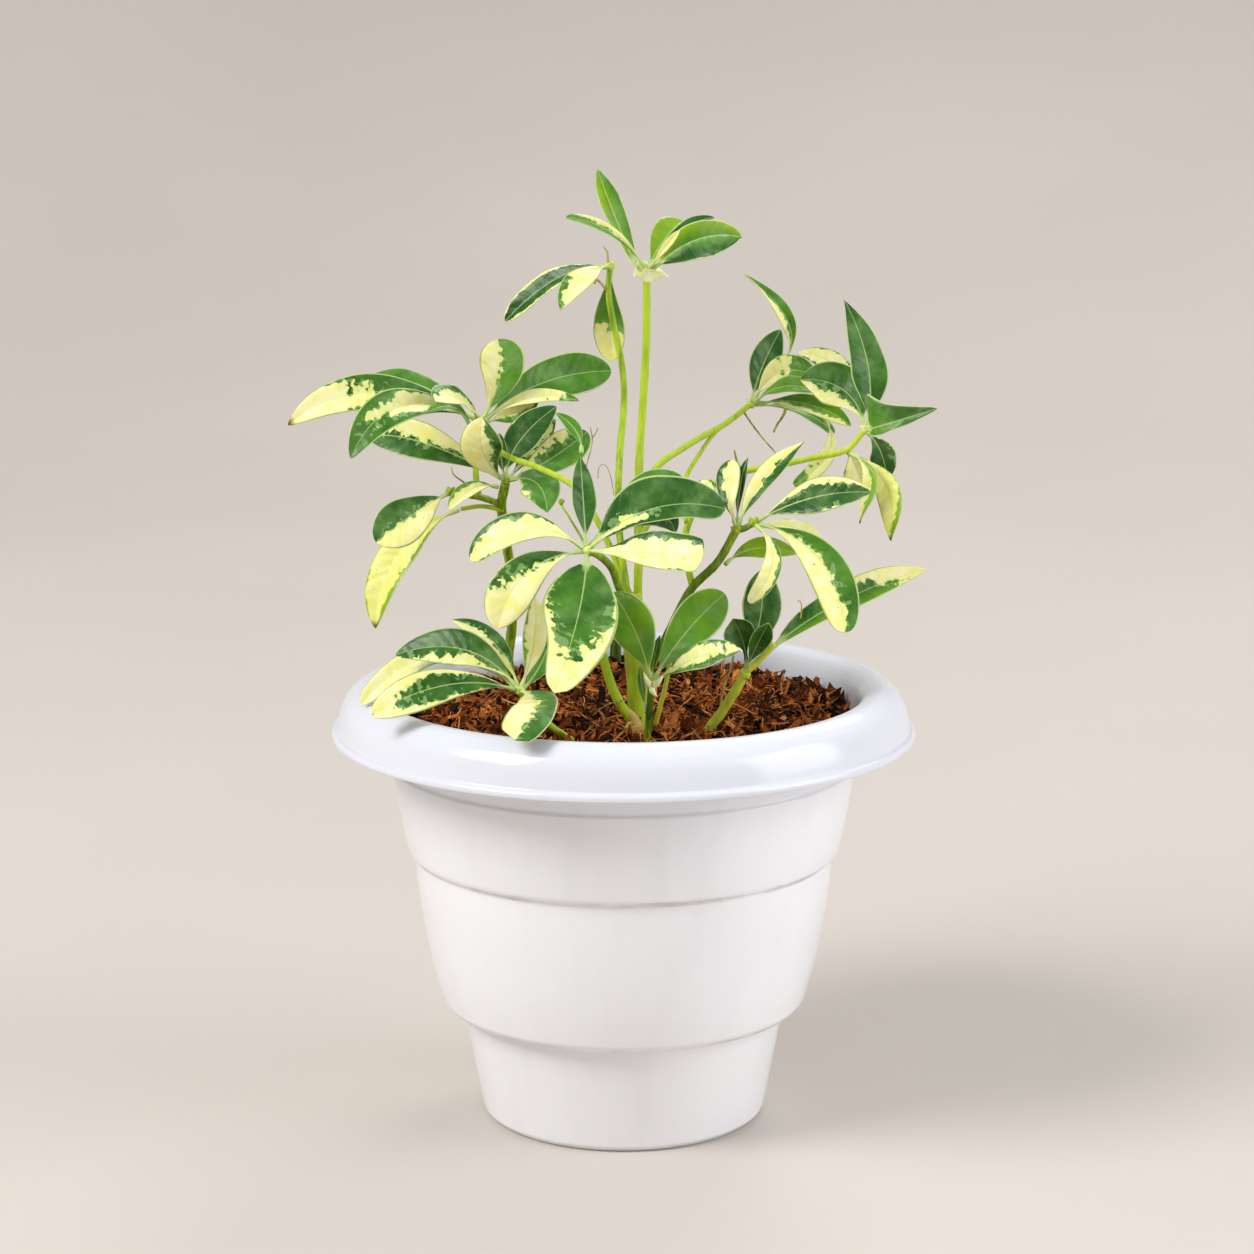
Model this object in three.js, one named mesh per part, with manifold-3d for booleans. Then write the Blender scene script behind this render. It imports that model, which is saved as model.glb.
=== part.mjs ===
// A young variegated umbrella tree in a white plastic pot.
// Millimetres, +Z up, front towards -Y. The origin is the middle of the pot's flat underside.

import * as THREE from 'three';
import { mergeVertices } from 'three/addons/utils/BufferGeometryUtils.js';
import Module from 'manifold-3d';

// Driving sizes of the pot: a nominal 20 cm (8 inch) planter.
const BASE_R = 51;
const POT_HEIGHT = 158;
const RIM_R = 104;
const WALL = 2;
const FLOOR = 2.5;
const POT_SEGMENTS = 40;
const DRAIN_HOLES = 6;
const DRAIN_HOLE_R = 4;
const DRAIN_CIRCLE_R = 36;
const DRAIN_HOLE_SIDES = 12;

// The potting mix.
const COIR_R = 82;
const COIR_TOP = 145;
const COIR_CROWN = 3;
const COIR_GAP = 0.3;

// Stems, stalks and the knobs at their ends.
const STEM_SIDES = 8;
const SOCKET_GAP = 0.3;
const HUB_R = 2.4;
const HUB_CLEARANCE = 2.9;

// Leaflets.
const BLADE_THICKNESS = 0.8;
const STALKLET_HALF_WIDTH = 0.6;
const STALKLET_SHARE = 0.14;
const TIP_HALF_WIDTH = 0.4;

// Blade outlines: how far along the blade it is widest, and how rounded its tip is (1 is sharp, 0.3 is blunt).
const OUTLINES = {
  oval: [0.5, 0.75],
  spoon: [0.64, 0.55],
  ovate: [0.34, 1],
  strap: [0.6, 0.36],
  lance: [0.5, 1],
};

// A viewer's eye in front of the plant. Every place on the plant is given as x and z on the upright plane
// through the pot's axis, and then brought nearer to this eye by so many millimetres, along the line of sight.
const EYE = new THREE.Vector3(1.25, -1167.7, 418.1);

const COLOURS = {
  plastic: [0xf2f3f6, 0.3],
  coir: [0x7a4124, 0.95],
  bark: [0x7f9a35, 0.55],
  stalk: [0xa3b83c, 0.45],
  green: [0x3f7d33, 0.42],
  cream: [0xeef0bd, 0.45],
  mixed: [0x8fb06a, 0.43],
};

const wasm = await Module();
wasm.setup();

const plant = new THREE.Group();
plant.name = 'potted_umbrella_plant';

function material(kind) {
  const [color, roughness] = COLOURS[kind];
  return new THREE.MeshStandardMaterial({ color, roughness, metalness: 0 });
}

function addPiece(name, geometry, kind) {
  const mesh = new THREE.Mesh(geometry, material(kind));
  mesh.name = name;
  plant.add(mesh);
}

function sighted(x, z, nearer) {
  const share = nearer / -EYE.y;
  return new THREE.Vector3(x, 0, z).lerp(EYE, share);
}

// Solids that are joined or cut.

function toSolid(geometry) {
  const bare = geometry.clone();
  bare.deleteAttribute('normal');
  bare.deleteAttribute('uv');
  const merged = mergeVertices(bare, 1e-4);
  const vertProperties = new Float32Array(merged.attributes.position.array);
  const triVerts = new Uint32Array(merged.index.array);
  return new wasm.Manifold(new wasm.Mesh({ numProp: 3, vertProperties, triVerts }));
}

function toGeometry(solid) {
  const mesh = solid.getMesh();
  const geometry = new THREE.BufferGeometry();
  geometry.setAttribute('position', new THREE.BufferAttribute(new Float32Array(mesh.vertProperties), 3));
  geometry.setIndex(new THREE.BufferAttribute(new Uint32Array(mesh.triVerts), 1));
  geometry.computeVertexNormals();
  return geometry;
}

function latheOf(profile) {
  const points = profile.map(([radius, height]) => new THREE.Vector2(radius, height));
  const turned = new THREE.LatheGeometry(points, POT_SEGMENTS);
  turned.rotateX(Math.PI / 2);
  return turned;
}

// The pot: one moulded shell. The outside is written from the foot up to the ridge under the rim, the rolled
// rim goes over and down to its open lip, and the inside is the same wall set in by its thickness.

function potOutside() {
  return [
    [BASE_R, 2],
    [58.4, 40.6],
    [63.5, 41.2],
    [65.6, 43.6],
    [69, 55],
    [71.9, 70],
    [74.2, 85],
    [75, 97.3],
    [76.7, 98],
    [77.5, 99.6],
    [79, 106],
    [81.2, 118.6],
    [82.8, 129.5],
    [84.6, 140],
    [85.9, 150],
  ];
}

function rolledRimUnderside() {
  return [
    [88, 154],
    [91.5, 155.7],
    [94.5, 155.8],
    [97, 153.8],
    [98.6, 149],
    [100.3, 144],
    [RIM_R - 2, 140.5],
  ];
}

function rolledRimOutside() {
  return [
    [RIM_R, 140.5],
    [RIM_R, 142.6],
    [102.3, 143.6],
    [100.7, 149.5],
    [99, 154.6],
    [96, 157.4],
    [92.5, POT_HEIGHT],
    [88.5, 157.2],
    [85.4, 154.6],
    [83.9, 150],
  ];
}

function potInside() {
  const wallInside = potOutside()
    .slice(1, -1)
    .reverse()
    .map(([radius, height]) => [radius - WALL, height + (height < 100 ? WALL * 0.7 : 0)]);
  return [...wallInside, [BASE_R - WALL, FLOOR]];
}

function potGeometry() {
  const profile = [
    [0, 0],
    [BASE_R - 2, 0],
    ...potOutside(),
    ...rolledRimUnderside(),
    ...rolledRimOutside(),
    ...potInside(),
    [0, FLOOR],
  ];
  let shell = toSolid(latheOf(profile));
  for (let i = 0; i < DRAIN_HOLES; i += 1) {
    const turn = ((i + 0.5) / DRAIN_HOLES) * Math.PI * 2;
    const drill = new THREE.CylinderGeometry(DRAIN_HOLE_R, DRAIN_HOLE_R, FLOOR * 4, DRAIN_HOLE_SIDES);
    drill.rotateX(Math.PI / 2);
    drill.translate(DRAIN_CIRCLE_R * Math.cos(turn), DRAIN_CIRCLE_R * Math.sin(turn), 0);
    shell = shell.subtract(toSolid(drill));
  }
  return toGeometry(shell);
}

// Stems and leaf stalks: round rods along smooth curves.

function rodGeometry(radius, places) {
  const path = new THREE.CatmullRomCurve3(places.map((place) => sighted(...place)));
  const section = new THREE.Shape().absarc(0, 0, radius, 0, Math.PI * 2);
  return new THREE.ExtrudeGeometry(section, {
    steps: places.length + 3,
    curveSegments: STEM_SIDES / 2,
    extrudePath: path,
  });
}

// Each stem is one grown piece of several rods: its radius, then the places that it passes, as (x, z, nearer).
// The trunk has a short shoot at its foot and a branch to the right, which forks at its end. The left stem
// carries two twigs.
const WOODY_STEMS = {
  trunk: [
    [4, [[6.3, 127, 26], [6.2, 139, 26], [5.6, 155, 25], [4.4, 172, 25], [3, 187, 25]]],
    [1.7, [[5, 141, 29], [1.5, 149, 31], [-3, 160, 32], [-6.5, 169, 33], [-8, 178, 33]]],
    [1.5, [[5.5, 157, 25], [10.5, 165.5, 24], [15, 174, 22], [24, 192, 22], [33.5, 202, 24], [40, 213.5, 26]]],
    [1.1, [[40, 213.5, 26], [43, 214.2, 26], [46, 216, 26]]],
  ],
  stem_left: [
    [1.8, [[-42.2, 147, -54], [-42, 157, -54], [-41, 168, -51], [-39.5, 180, -47], [-39.5, 195, -40],
      [-41.5, 210, -32], [-43, 222.5, -25], [-41.6, 230, -22]]],
    [1.2, [[-43, 222.5, -25], [-50, 225, -21], [-60, 226.8, -16]]],
    [0.8, [[-42.5, 220.5, -25], [-50, 221.6, -22], [-57, 221.5, -20]]],
  ],
  stem_right: [
    [1.9, [[30.8, 130, 26], [31, 139.5, 26], [36, 146, 27], [41, 153, 28.5], [46, 160, 30],
      [50.5, 166.5, 31], [54.3, 171.6, 32]]],
  ],
};

// The stalk of each palmate leaf that has one of its own.
const LEAF_STALKS = {
  stalk_top: [1.4, [[5.2, 188.2, 25], [5.2, 194, 24.4], [5.4, 205, 22], [5.2, 220, 14], [5.7, 240, 7],
    [7, 260, 3], [8, 280, 1], [8.2, 303, 0]]],
  stalk_top_left: [1.15, [[1.2, 188.2, 25], [0.9, 194, 24], [-0.7, 205, 20], [-1.8, 222, 8], [-1.3, 240, -2],
    [0.2, 258, -8], [-0.2, 270, -10], [-2.2, 281, -12], [-4.3, 291, -12.5], [-5.2, 299, -13],
    [-4.6, 305.5, -14]]],
  stalk_centre: [1.3, [[2.4, 187.6, 28], [-1.3, 192.2, 30], [-4, 199.5, 34.5], [-8.5, 204, 42],
    [-12.5, 205.8, 45]]],
  stalk_far_left: [1.05, [[3, 188.6, 22.2], [0.5, 194.5, 20.6], [-5, 208, 16], [-13, 223.5, 8], [-18, 229.5, 4],
    [-30, 235.7, -6], [-42, 240.5, -17], [-48.5, 248, -29], [-50, 251.5, -34]]],
  stalk_upper_right: [1.15, [[8.6, 214, 16], [9, 224, 8], [10.2, 233, 0], [13.6, 237.6, -5], [20, 242, -12],
    [28, 246.9, -20], [36, 251.4, -28], [44, 257.6, -36]]],
  stalk_far_right: [1.1, [[24.8, 196, 20.3], [22.5, 203, 16], [22, 212, 10], [27, 224, 6], [34, 231, 5],
    [43, 234.4, 6], [55, 236.6, 6], [66, 239, 6], [78.5, 242, 5], [84.5, 248.5, 4]]],
  stalk_front_left: [1.1, [[-15.5, 126, 38], [-17, 135.2, 41], [-20.5, 138.3, 43.5], [-25, 141.5, 46],
    [-31, 147.5, 48.5], [-36.6, 154.4, 50]]],
  stalk_front: [1.25, [[8.2, 126, 39], [8.4, 135.7, 39.5], [9.2, 146, 42.5], [10, 157, 45]]],
};

// Where leaflets meet on a woody stem or at the end of a stalk, there is a small knob, at (x, z, nearer).
const HUBS = {
  top: [8, 305, 0],
  top_left: [-4.5, 306.5, -14],
  far_left: [-50, 252, -34],
  left: [-41.5, 231, -22],
  low_left: [-61, 227, -16],
  centre: [-13, 206, 45],
  right_inner: [40, 213.5, 26],
  right_outer: [46, 216, 26],
  upper_right: [45, 258.3, -36],
  far_right: [85, 249, 4],
  front_left: [-37, 155, 50],
  front: [10, 157.8, 45],
  front_right: [55, 172.3, 32],
};

const KNOBS_OF = {
  trunk: ['right_inner', 'right_outer'],
  stem_left: ['left', 'low_left'],
  stem_right: ['front_right'],
  stalk_top: ['top'],
  stalk_top_left: ['top_left'],
  stalk_centre: ['centre'],
  stalk_far_left: ['far_left'],
  stalk_upper_right: ['upper_right'],
  stalk_far_right: ['far_right'],
  stalk_front_left: ['front_left'],
  stalk_front: ['front'],
};

function knobSolid(hub) {
  const knob = new THREE.IcosahedronGeometry(HUB_R, 1);
  const place = sighted(...HUBS[hub]);
  knob.translate(place.x, place.y, place.z);
  return toSolid(knob);
}

function grownPiece(name, rods) {
  let solid = null;
  for (const [radius, places] of rods) {
    const rod = toSolid(rodGeometry(radius, places));
    solid = solid ? solid.add(rod) : rod;
  }
  for (const hub of KNOBS_OF[name]) {
    solid = solid.add(knobSolid(hub));
  }
  return toGeometry(solid);
}

// The potting mix fills the pot. A socket is left round each stem that stands in it.

function coirProfile() {
  const side = potInside()
    .reverse()
    .filter(([, height]) => height < COIR_TOP - 2)
    .map(([radius, height]) => [radius - COIR_GAP, height + COIR_GAP]);
  return [
    [0, FLOOR + COIR_GAP],
    ...side,
    [COIR_R, COIR_TOP - 1],
    [COIR_R - 1, COIR_TOP],
    [COIR_R * 0.7, COIR_TOP + COIR_CROWN * 0.6],
    [COIR_R * 0.35, COIR_TOP + COIR_CROWN * 0.9],
    [0, COIR_TOP + COIR_CROWN],
  ];
}

function socketSolid([radius, places]) {
  const hollow = radius + SOCKET_GAP;
  const foot = new THREE.IcosahedronGeometry(hollow * 1.25, 1);
  const place = sighted(...places[0]);
  foot.translate(place.x, place.y, place.z);
  return toSolid(rodGeometry(hollow, places)).add(toSolid(foot));
}

function coirGeometry() {
  let heap = toSolid(latheOf(coirProfile()));
  const [trunk, shoot] = WOODY_STEMS.trunk;
  const planted = [
    trunk,
    shoot,
    WOODY_STEMS.stem_left[0],
    WOODY_STEMS.stem_right[0],
    LEAF_STALKS.stalk_front_left,
    LEAF_STALKS.stalk_front,
  ];
  for (const rod of planted) {
    heap = heap.subtract(socketSolid(rod));
  }
  return toGeometry(heap);
}

// A leaflet: a thin blade, narrow at its stalklet, widest past the middle, folded up a little along the midrib.
// facing turns the blade from lying flat (0) to looking at the eye (1). roll turns it further about its midrib.

const STATIONS = [0, 0.14, 0.28, 0.42, 0.56, 0.7, 0.83, 0.94, 1];

function halfWidth(share, width, outline) {
  const [peak, roundness] = OUTLINES[outline];
  const along = Math.max(0, (share - STALKLET_SHARE) / (1 - STALKLET_SHARE));
  const pastPeak = Math.max(0, (along - peak) / (1 - peak));
  const swell = Math.sin((Math.PI / 2) * Math.min(1, along / peak)) * (1 - pastPeak ** 2) ** roundness;
  return Math.max((width / 2) * swell, share > peak ? TIP_HALF_WIDTH : STALKLET_HALF_WIDTH);
}

function midribCurve(hub, bend, tip) {
  const control = bend.clone().multiplyScalar(2);
  control.addScaledVector(hub, -0.5);
  control.addScaledVector(tip, -0.5);
  return new THREE.QuadraticBezierCurve3(hub, control, tip);
}

function leafletGeometry(hub, bend, tip, outline, width, facing, roll, fold) {
  const midrib = midribCurve(sighted(...hub), sighted(...bend), sighted(...tip));
  const start = HUB_CLEARANCE / (2 * midrib.v1.distanceTo(midrib.v0));
  const rise = Math.sin(THREE.MathUtils.degToRad(fold));
  const spread = Math.cos(THREE.MathUtils.degToRad(fold));
  const positions = [];
  for (const share of STATIONS) {
    const t = start + (1 - start) * share;
    const along = midrib.getTangent(t);
    const centre = midrib.getPoint(t);
    const look = EYE.clone().sub(centre).normalize();
    const upper = new THREE.Vector3(0, 0, 1).lerp(look, facing);
    upper.addScaledVector(along, -upper.dot(along)).normalize();
    upper.applyAxisAngle(along, THREE.MathUtils.degToRad(roll));
    const across = along.clone().cross(upper);
    const half = halfWidth(share, width, outline);
    for (const layer of [0, -BLADE_THICKNESS]) {
      for (const edge of [-1, 0, 1]) {
        const point = centre.clone().addScaledVector(across, edge * half * spread);
        point.addScaledVector(upper, Math.abs(edge) * half * rise + layer);
        positions.push(point.x, point.y, point.z);
      }
    }
  }
  return closedBlade(positions, STATIONS.length);
}

function closedBlade(positions, rows) {
  const index = [];
  const quad = (a, b, c, d) => index.push(a, b, c, a, c, d);
  for (let row = 0; row + 1 < rows; row += 1) {
    const here = row * 6;
    const next = here + 6;
    quad(here, here + 1, next + 1, next);
    quad(here + 1, here + 2, next + 2, next + 1);
    quad(here + 4, here + 3, next + 3, next + 4);
    quad(here + 5, here + 4, next + 4, next + 5);
    quad(here + 3, here, next, next + 3);
    quad(here + 2, here + 5, next + 5, next + 2);
  }
  const last = (rows - 1) * 6;
  quad(0, 3, 4, 1);
  quad(1, 4, 5, 2);
  quad(last + 3, last, last + 1, last + 4);
  quad(last + 4, last + 1, last + 2, last + 5);
  const geometry = new THREE.BufferGeometry();
  geometry.setAttribute('position', new THREE.Float32BufferAttribute(positions, 3));
  geometry.setIndex(index);
  geometry.computeVertexNormals();
  return geometry;
}

// Leaflet rows: bend (x, z, nearer), tip (x, z, nearer), outline, width, facing, roll, fold, colour, and the
// place that it starts from where that isn't the knob of its fan.
const FANS = {
  top: [
    [[1.5, 323, -8], [-9, 340, -16], 'lance', 13, 0.8, -25, 48, 'green'],
    [[-4, 317.5, 6], [-19, 323.5, 14], 'strap', 8, 0.25, 0, 30, 'mixed'],
    [[13, 315, -12], [19, 322.5, -26], 'spoon', 11, 0.7, 0, 20, 'green'],
    [[25, 314.5, 6], [41.7, 316.3, 12], 'oval', 16, 0.65, 0, 20, 'green'],
  ],
  top_left: [
    [[-22, 303, -20], [-41.3, 287.5, -22], 'spoon', 11, 0.45, 0, 20, 'green'],
    [[-13.5, 303, 0], [-22, 291.7, 14], 'oval', 11, 0.45, 0, 20, 'cream'],
    [[-4.8, 290.5, -27], [-4, 273.5, -28], 'spoon', 12.5, 0.8, 20, 15, 'mixed'],
  ],
  far_left: [
    [[-84, 260.5, -38], [-118, 251, -38], 'strap', 13, 0.4, 0, 20, 'mixed'],
    [[-78, 258, -14], [-96, 239, 2], 'oval', 15, 0.55, 0, 20, 'mixed'],
    [[-57, 260, -22], [-66, 259.5, -8], 'spoon', 13, 0.6, 0, 15, 'mixed'],
    [[-43.4, 267.5, -37], [-44, 281, -42], 'spoon', 15.5, 0.8, 18, 20, 'mixed'],
    [[-29, 265.5, -52], [-4.3, 270, -64], 'spoon', 15.5, 0.65, 0, 15, 'green'],
  ],
  left: [
    [[-49.3, 241, -11], [-49.6, 253.5, -9], 'oval', 12.5, 0.9, -18, 10, 'cream'],
    [[-31, 230.5, -16], [-27, 220, -4], 'oval', 15, 0.6, 0, 15, 'green'],
    [[-37, 244.5, -30], [-23.5, 257.5, -38], 'oval', 13, 0.7, 0, 15, 'green'],
    [[-27, 238, -32], [-12.8, 248.5, -42], 'spoon', 15, 0.7, 0, 10, 'mixed'],
    [[-70, 244.5, -28], [-90, 246.8, -36], 'oval', 15, 0.7, 0, 15, 'mixed'],
  ],
  low_left: [
    [[-73, 220, -6], [-87.5, 209, 2], 'oval', 17.5, 0.75, 0, 12, 'mixed'],
    [[-79, 206, -16], [-89.5, 178.3, -8], 'strap', 11.5, 0.8, 18, 12, 'cream', [-56.5, 221.5, -20]],
  ],
  centre: [
    [[-34, 214.2, 46], [-54.3, 202.8, 42], 'spoon', 15, 0.5, 0, 15, 'cream'],
    [[-34, 198.2, 52], [-45, 178, 58], 'spoon', 16.5, 0.7, 0, 12, 'mixed'],
    [[-16, 183, 62], [-24.8, 154.5, 80], 'oval', 26, 0.8, 0, 8, 'green'],
    [[8, 205.5, 54], [28.3, 204.5, 62], 'strap', 15, 0.6, 0, 10, 'cream'],
    [[10, 221, 38], [36, 221, 30], 'oval', 18, 0.6, 0, 15, 'green'],
    [[-14.2, 225, 38], [-15.2, 240, 26], 'ovate', 9.5, 0.8, 22, 15, 'green'],
  ],
  right_inner: [
    [[37, 227, 20], [38, 238.5, 12], 'spoon', 9.5, 0.9, -20, 12, 'cream'],
    [[48.5, 230, 20], [63.5, 245, 12], 'lance', 9, 0.5, 0, 20, 'mixed'],
  ],
  right_outer: [
    [[66, 224.8, 30], [87.3, 227, 34], 'oval', 14, 0.65, 0, 15, 'green'],
    [[53, 203, 40], [44.5, 187.3, 42], 'strap', 8, 0.7, 0, 12, 'cream'],
    [[69, 203.5, 34], [78.7, 176.5, 46], 'spoon', 15, 0.75, 0, 12, 'mixed'],
  ],
  upper_right: [
    [[48.3, 270.5, -42], [55, 284.5, -50], 'oval', 11.5, 0.7, 15, 12, 'green'],
    [[64, 258.5, -28], [80, 250.5, -22], 'strap', 8, 0.4, 0, 12, 'mixed'],
  ],
  far_right: [
    [[85.8, 271, -4], [77, 295, -16], 'ovate', 14, 0.8, 15, 12, 'green'],
    [[92.3, 252.6, 12], [110, 256.7, 18], 'ovate', 17.5, 0.5, 0, 30, 'green'],
    [[78.5, 262, -12], [62.5, 265.5, -16], 'oval', 14, 0.6, 0, 12, 'mixed'],
    [[92, 229, 12], [95.2, 210, 18], 'spoon', 10, 0.7, 0, 12, 'cream', [79, 241.5, 5]],
  ],
  front_left: [
    [[-56, 170, 44], [-81.3, 168.3, 36], 'oval', 15, 0.55, 0, 12, 'green'],
    [[-62, 157.5, 60], [-90, 146.3, 66], 'spoon', 14, 0.65, 0, 12, 'mixed'],
    [[-30, 149.5, 76], [-43, 137.5, 97], 'strap', 15, 0.4, 0, 8, 'mixed'],
    [[-32, 172.5, 46], [-31.5, 189, 40], 'oval', 9.5, 0.9, 20, 12, 'cream'],
    [[-66, 168, 30], [-93.5, 150.5, 34], 'strap', 10, 0.5, 0, 12, 'cream'],
  ],
  front: [
    [[4.5, 176, 42], [-4, 191, 34], 'oval', 16, 0.8, -15, 10, 'green'],
    [[21.5, 175.5, 42], [36, 190.5, 36], 'spoon', 16, 0.8, 0, 10, 'green'],
    [[26, 167.2, 52], [41.3, 170, 58], 'oval', 11, 0.55, 0, 15, 'mixed'],
  ],
  front_right: [
    [[45.3, 171, 33], [45, 180.5, 34], 'strap', 15, -2, 0, 12, 'green', [45.4, 161.2, 31]],
    [[50.5, 182, 22], [50, 198, 16], 'oval', 15.5, 0.9, 15, 10, 'green', [52.5, 168.5, 30]],
    [[78, 187, 20], [107.5, 199.5, 6], 'lance', 15, 0.5, 0, 35, 'mixed'],
  ],
};

function addLeaflets() {
  for (const [fan, rows] of Object.entries(FANS)) {
    rows.forEach(([bend, tip, outline, width, facing, roll, fold, colour, from], i) => {
      const blade = leafletGeometry(from ?? HUBS[fan], bend, tip, outline, width, facing, roll, fold);
      addPiece(`leaflet_${fan}_${i + 1}`, blade, colour);
    });
  }
}

addPiece('pot', potGeometry(), 'plastic');
addPiece('coir', coirGeometry(), 'coir');
for (const [name, rods] of Object.entries(WOODY_STEMS)) {
  addPiece(name, grownPiece(name, rods), 'bark');
}
for (const [name, rod] of Object.entries(LEAF_STALKS)) {
  addPiece(name, grownPiece(name, [rod]), 'stalk');
}
addLeaflets();

export default plant;
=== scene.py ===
import math
import random

import bpy
import numpy as np
from mathutils import Matrix, Vector, noise


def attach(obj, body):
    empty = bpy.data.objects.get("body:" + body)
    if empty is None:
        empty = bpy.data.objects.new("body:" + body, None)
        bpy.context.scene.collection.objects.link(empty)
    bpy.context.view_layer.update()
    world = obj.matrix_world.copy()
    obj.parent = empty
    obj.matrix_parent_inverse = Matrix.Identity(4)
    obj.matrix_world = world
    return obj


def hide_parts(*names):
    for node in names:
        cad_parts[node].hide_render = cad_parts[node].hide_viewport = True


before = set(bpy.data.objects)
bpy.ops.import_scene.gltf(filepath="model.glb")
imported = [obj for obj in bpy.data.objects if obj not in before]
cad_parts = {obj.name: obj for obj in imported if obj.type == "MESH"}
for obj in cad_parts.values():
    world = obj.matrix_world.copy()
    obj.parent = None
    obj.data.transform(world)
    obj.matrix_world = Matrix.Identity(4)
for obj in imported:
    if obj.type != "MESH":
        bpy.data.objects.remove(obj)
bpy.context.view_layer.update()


# Camera. The plant is looked at from about 1.2 m in front and a little above, with a long lens.
# Its eye point is also what the plant was measured from: places on it are given along the lines of sight.
EYE = Vector((0.00125, -1.1677, 0.4181))
LENS = 96.2
SENSOR_WIDTH = 36
LOOK_DOWN = 11.6

camera_data = bpy.data.cameras.new("camera")
camera_data.lens = LENS
camera_data.sensor_width = SENSOR_WIDTH
camera = bpy.data.objects.new("camera", camera_data)
camera.location = EYE
camera.rotation_euler = (math.radians(90 - LOOK_DOWN), 0, 0)
bpy.context.scene.collection.objects.link(camera)
bpy.context.scene.camera = camera
bpy.context.scene.view_settings.view_transform = "Standard"


# Studio. A pale, matt, round floor that sweeps up into a wall far behind, and soft daylight:
# one large lamp high on the left in front, a weaker one on the right, one behind, and an even sky.
FLOOR_FLAT_R = 1.3
FLOOR_SWEEP = 2.2
FLOOR_TURNS = 96
SWEEP_STEPS = 24
WALL_TOP = 2.6
FLOOR_COLOUR = (0.54, 0.50, 0.46, 1)
FLOOR_MOTTLE = (0.57, 0.53, 0.49, 1)
FLOOR_ROUGHNESS = 0.9
SKY_COLOUR = (0.97, 0.98, 1.0, 1)
SKY_STRENGTH = 0.62
LAMP_AIM = (0, 0, 0.2)

# Each lamp: name, place, size, power, colour.
LAMPS = [
    ("key_lamp", (-1.7, -1.0, 1.9), 1.1, 56, (1.0, 0.98, 0.95)),
    ("fill_lamp", (1.9, -0.55, 0.9), 1.5, 29, (0.97, 0.98, 1.0)),
    ("back_lamp", (0.7, 1.7, 1.9), 1.0, 18, (1.0, 0.98, 0.95)),
]


def new_material(name):
    material = bpy.data.materials.new(name)
    material.use_nodes = True
    tree = material.node_tree
    return material, tree, tree.nodes["Principled BSDF"]


def wire(socket, value):
    """Links the socket to another one, or sets it to a plain value."""
    if isinstance(value, bpy.types.NodeSocket):
        socket.id_data.links.new(value, socket)
    else:
        socket.default_value = value


def set_shader(shader, values):
    for socket_name, value in values.items():
        wire(shader.inputs[socket_name], value)


def add_node(tree, kind, inputs, **settings):
    made = tree.nodes.new(kind)
    for key, value in settings.items():
        setattr(made, key, value)
    for key, value in inputs.items():
        wire(made.inputs[key], value)
    return made


def calculate(operation, *values):
    """A sum that a node works out. The first value is a socket, and the node joins its tree."""
    inputs = dict(enumerate(values))
    return add_node(values[0].id_data, "ShaderNodeMath", inputs, operation=operation).outputs[0]


def fade(value, low, high, most=1):
    """0 where the value is below low, most where it is above high, and a soft step between."""
    inputs = {"Value": value, "From Min": low, "From Max": high, "To Max": most}
    node = add_node(value.id_data, "ShaderNodeMapRange", inputs, interpolation_type="SMOOTHSTEP")
    return node.outputs["Result"]


def blend_colours(share, first, second):
    inputs = {0: share, 6: first, 7: second}
    return add_node(share.id_data, "ShaderNodeMix", inputs, data_type="RGBA").outputs[2]


def mottle(place, scale, detail=3, roughness=0.55):
    """A cloudy pattern between 0 and 1."""
    inputs = {"Vector": place, "Scale": scale, "Detail": detail, "Roughness": roughness}
    return add_node(place.id_data, "ShaderNodeTexNoise", inputs).outputs[0]


def real_place(tree):
    return add_node(tree, "ShaderNodeTexCoord", {}).outputs["Object"]


def bumps(height, distance, strength):
    inputs = {"Height": height, "Distance": distance, "Strength": strength}
    return add_node(height.id_data, "ShaderNodeBump", inputs).outputs["Normal"]


def mesh_piece(name, points, faces, smooth=True):
    mesh = bpy.data.meshes.new(name)
    mesh.from_pydata([tuple(point) for point in points], [], faces)
    mesh.polygons.foreach_set("use_smooth", [smooth] * len(mesh.polygons))
    mesh.update()
    piece = bpy.data.objects.new(name, mesh)
    bpy.context.scene.collection.objects.link(piece)
    return piece


def turned(profile, turns):
    """Points and faces of a profile of (radius, height) turned round the upright axis."""
    points = []
    faces = []
    for i in range(turns):
        angle = math.tau * i / turns
        points += [(r * math.cos(angle), r * math.sin(angle), z) for r, z in profile]
    rows = len(profile)
    for i in range(turns):
        here = i * rows
        after = (i + 1) % turns * rows
        faces += [(here + j, after + j, after + j + 1, here + j + 1) for j in range(rows - 1)]
    return points, faces


floor_profile = [(0.001, 0), (0.4, 0), (0.8, 0)]
for step in range(SWEEP_STEPS + 1):
    turn = math.pi / 2 * step / SWEEP_STEPS
    floor_profile.append((FLOOR_FLAT_R + FLOOR_SWEEP * math.sin(turn), FLOOR_SWEEP * (1 - math.cos(turn))))
floor_profile.append((FLOOR_FLAT_R + FLOOR_SWEEP, WALL_TOP))
floor = mesh_piece("studio_floor", *turned(floor_profile, FLOOR_TURNS))

material, tree, shader = new_material("studio_floor")
floor_mottle = fade(mottle(real_place(tree), 1.2), 0.35, 0.65)
set_shader(shader, {
    "Base Color": blend_colours(floor_mottle, FLOOR_COLOUR, FLOOR_MOTTLE),
    "Roughness": FLOOR_ROUGHNESS,
})
floor.data.materials.append(material)

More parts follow.
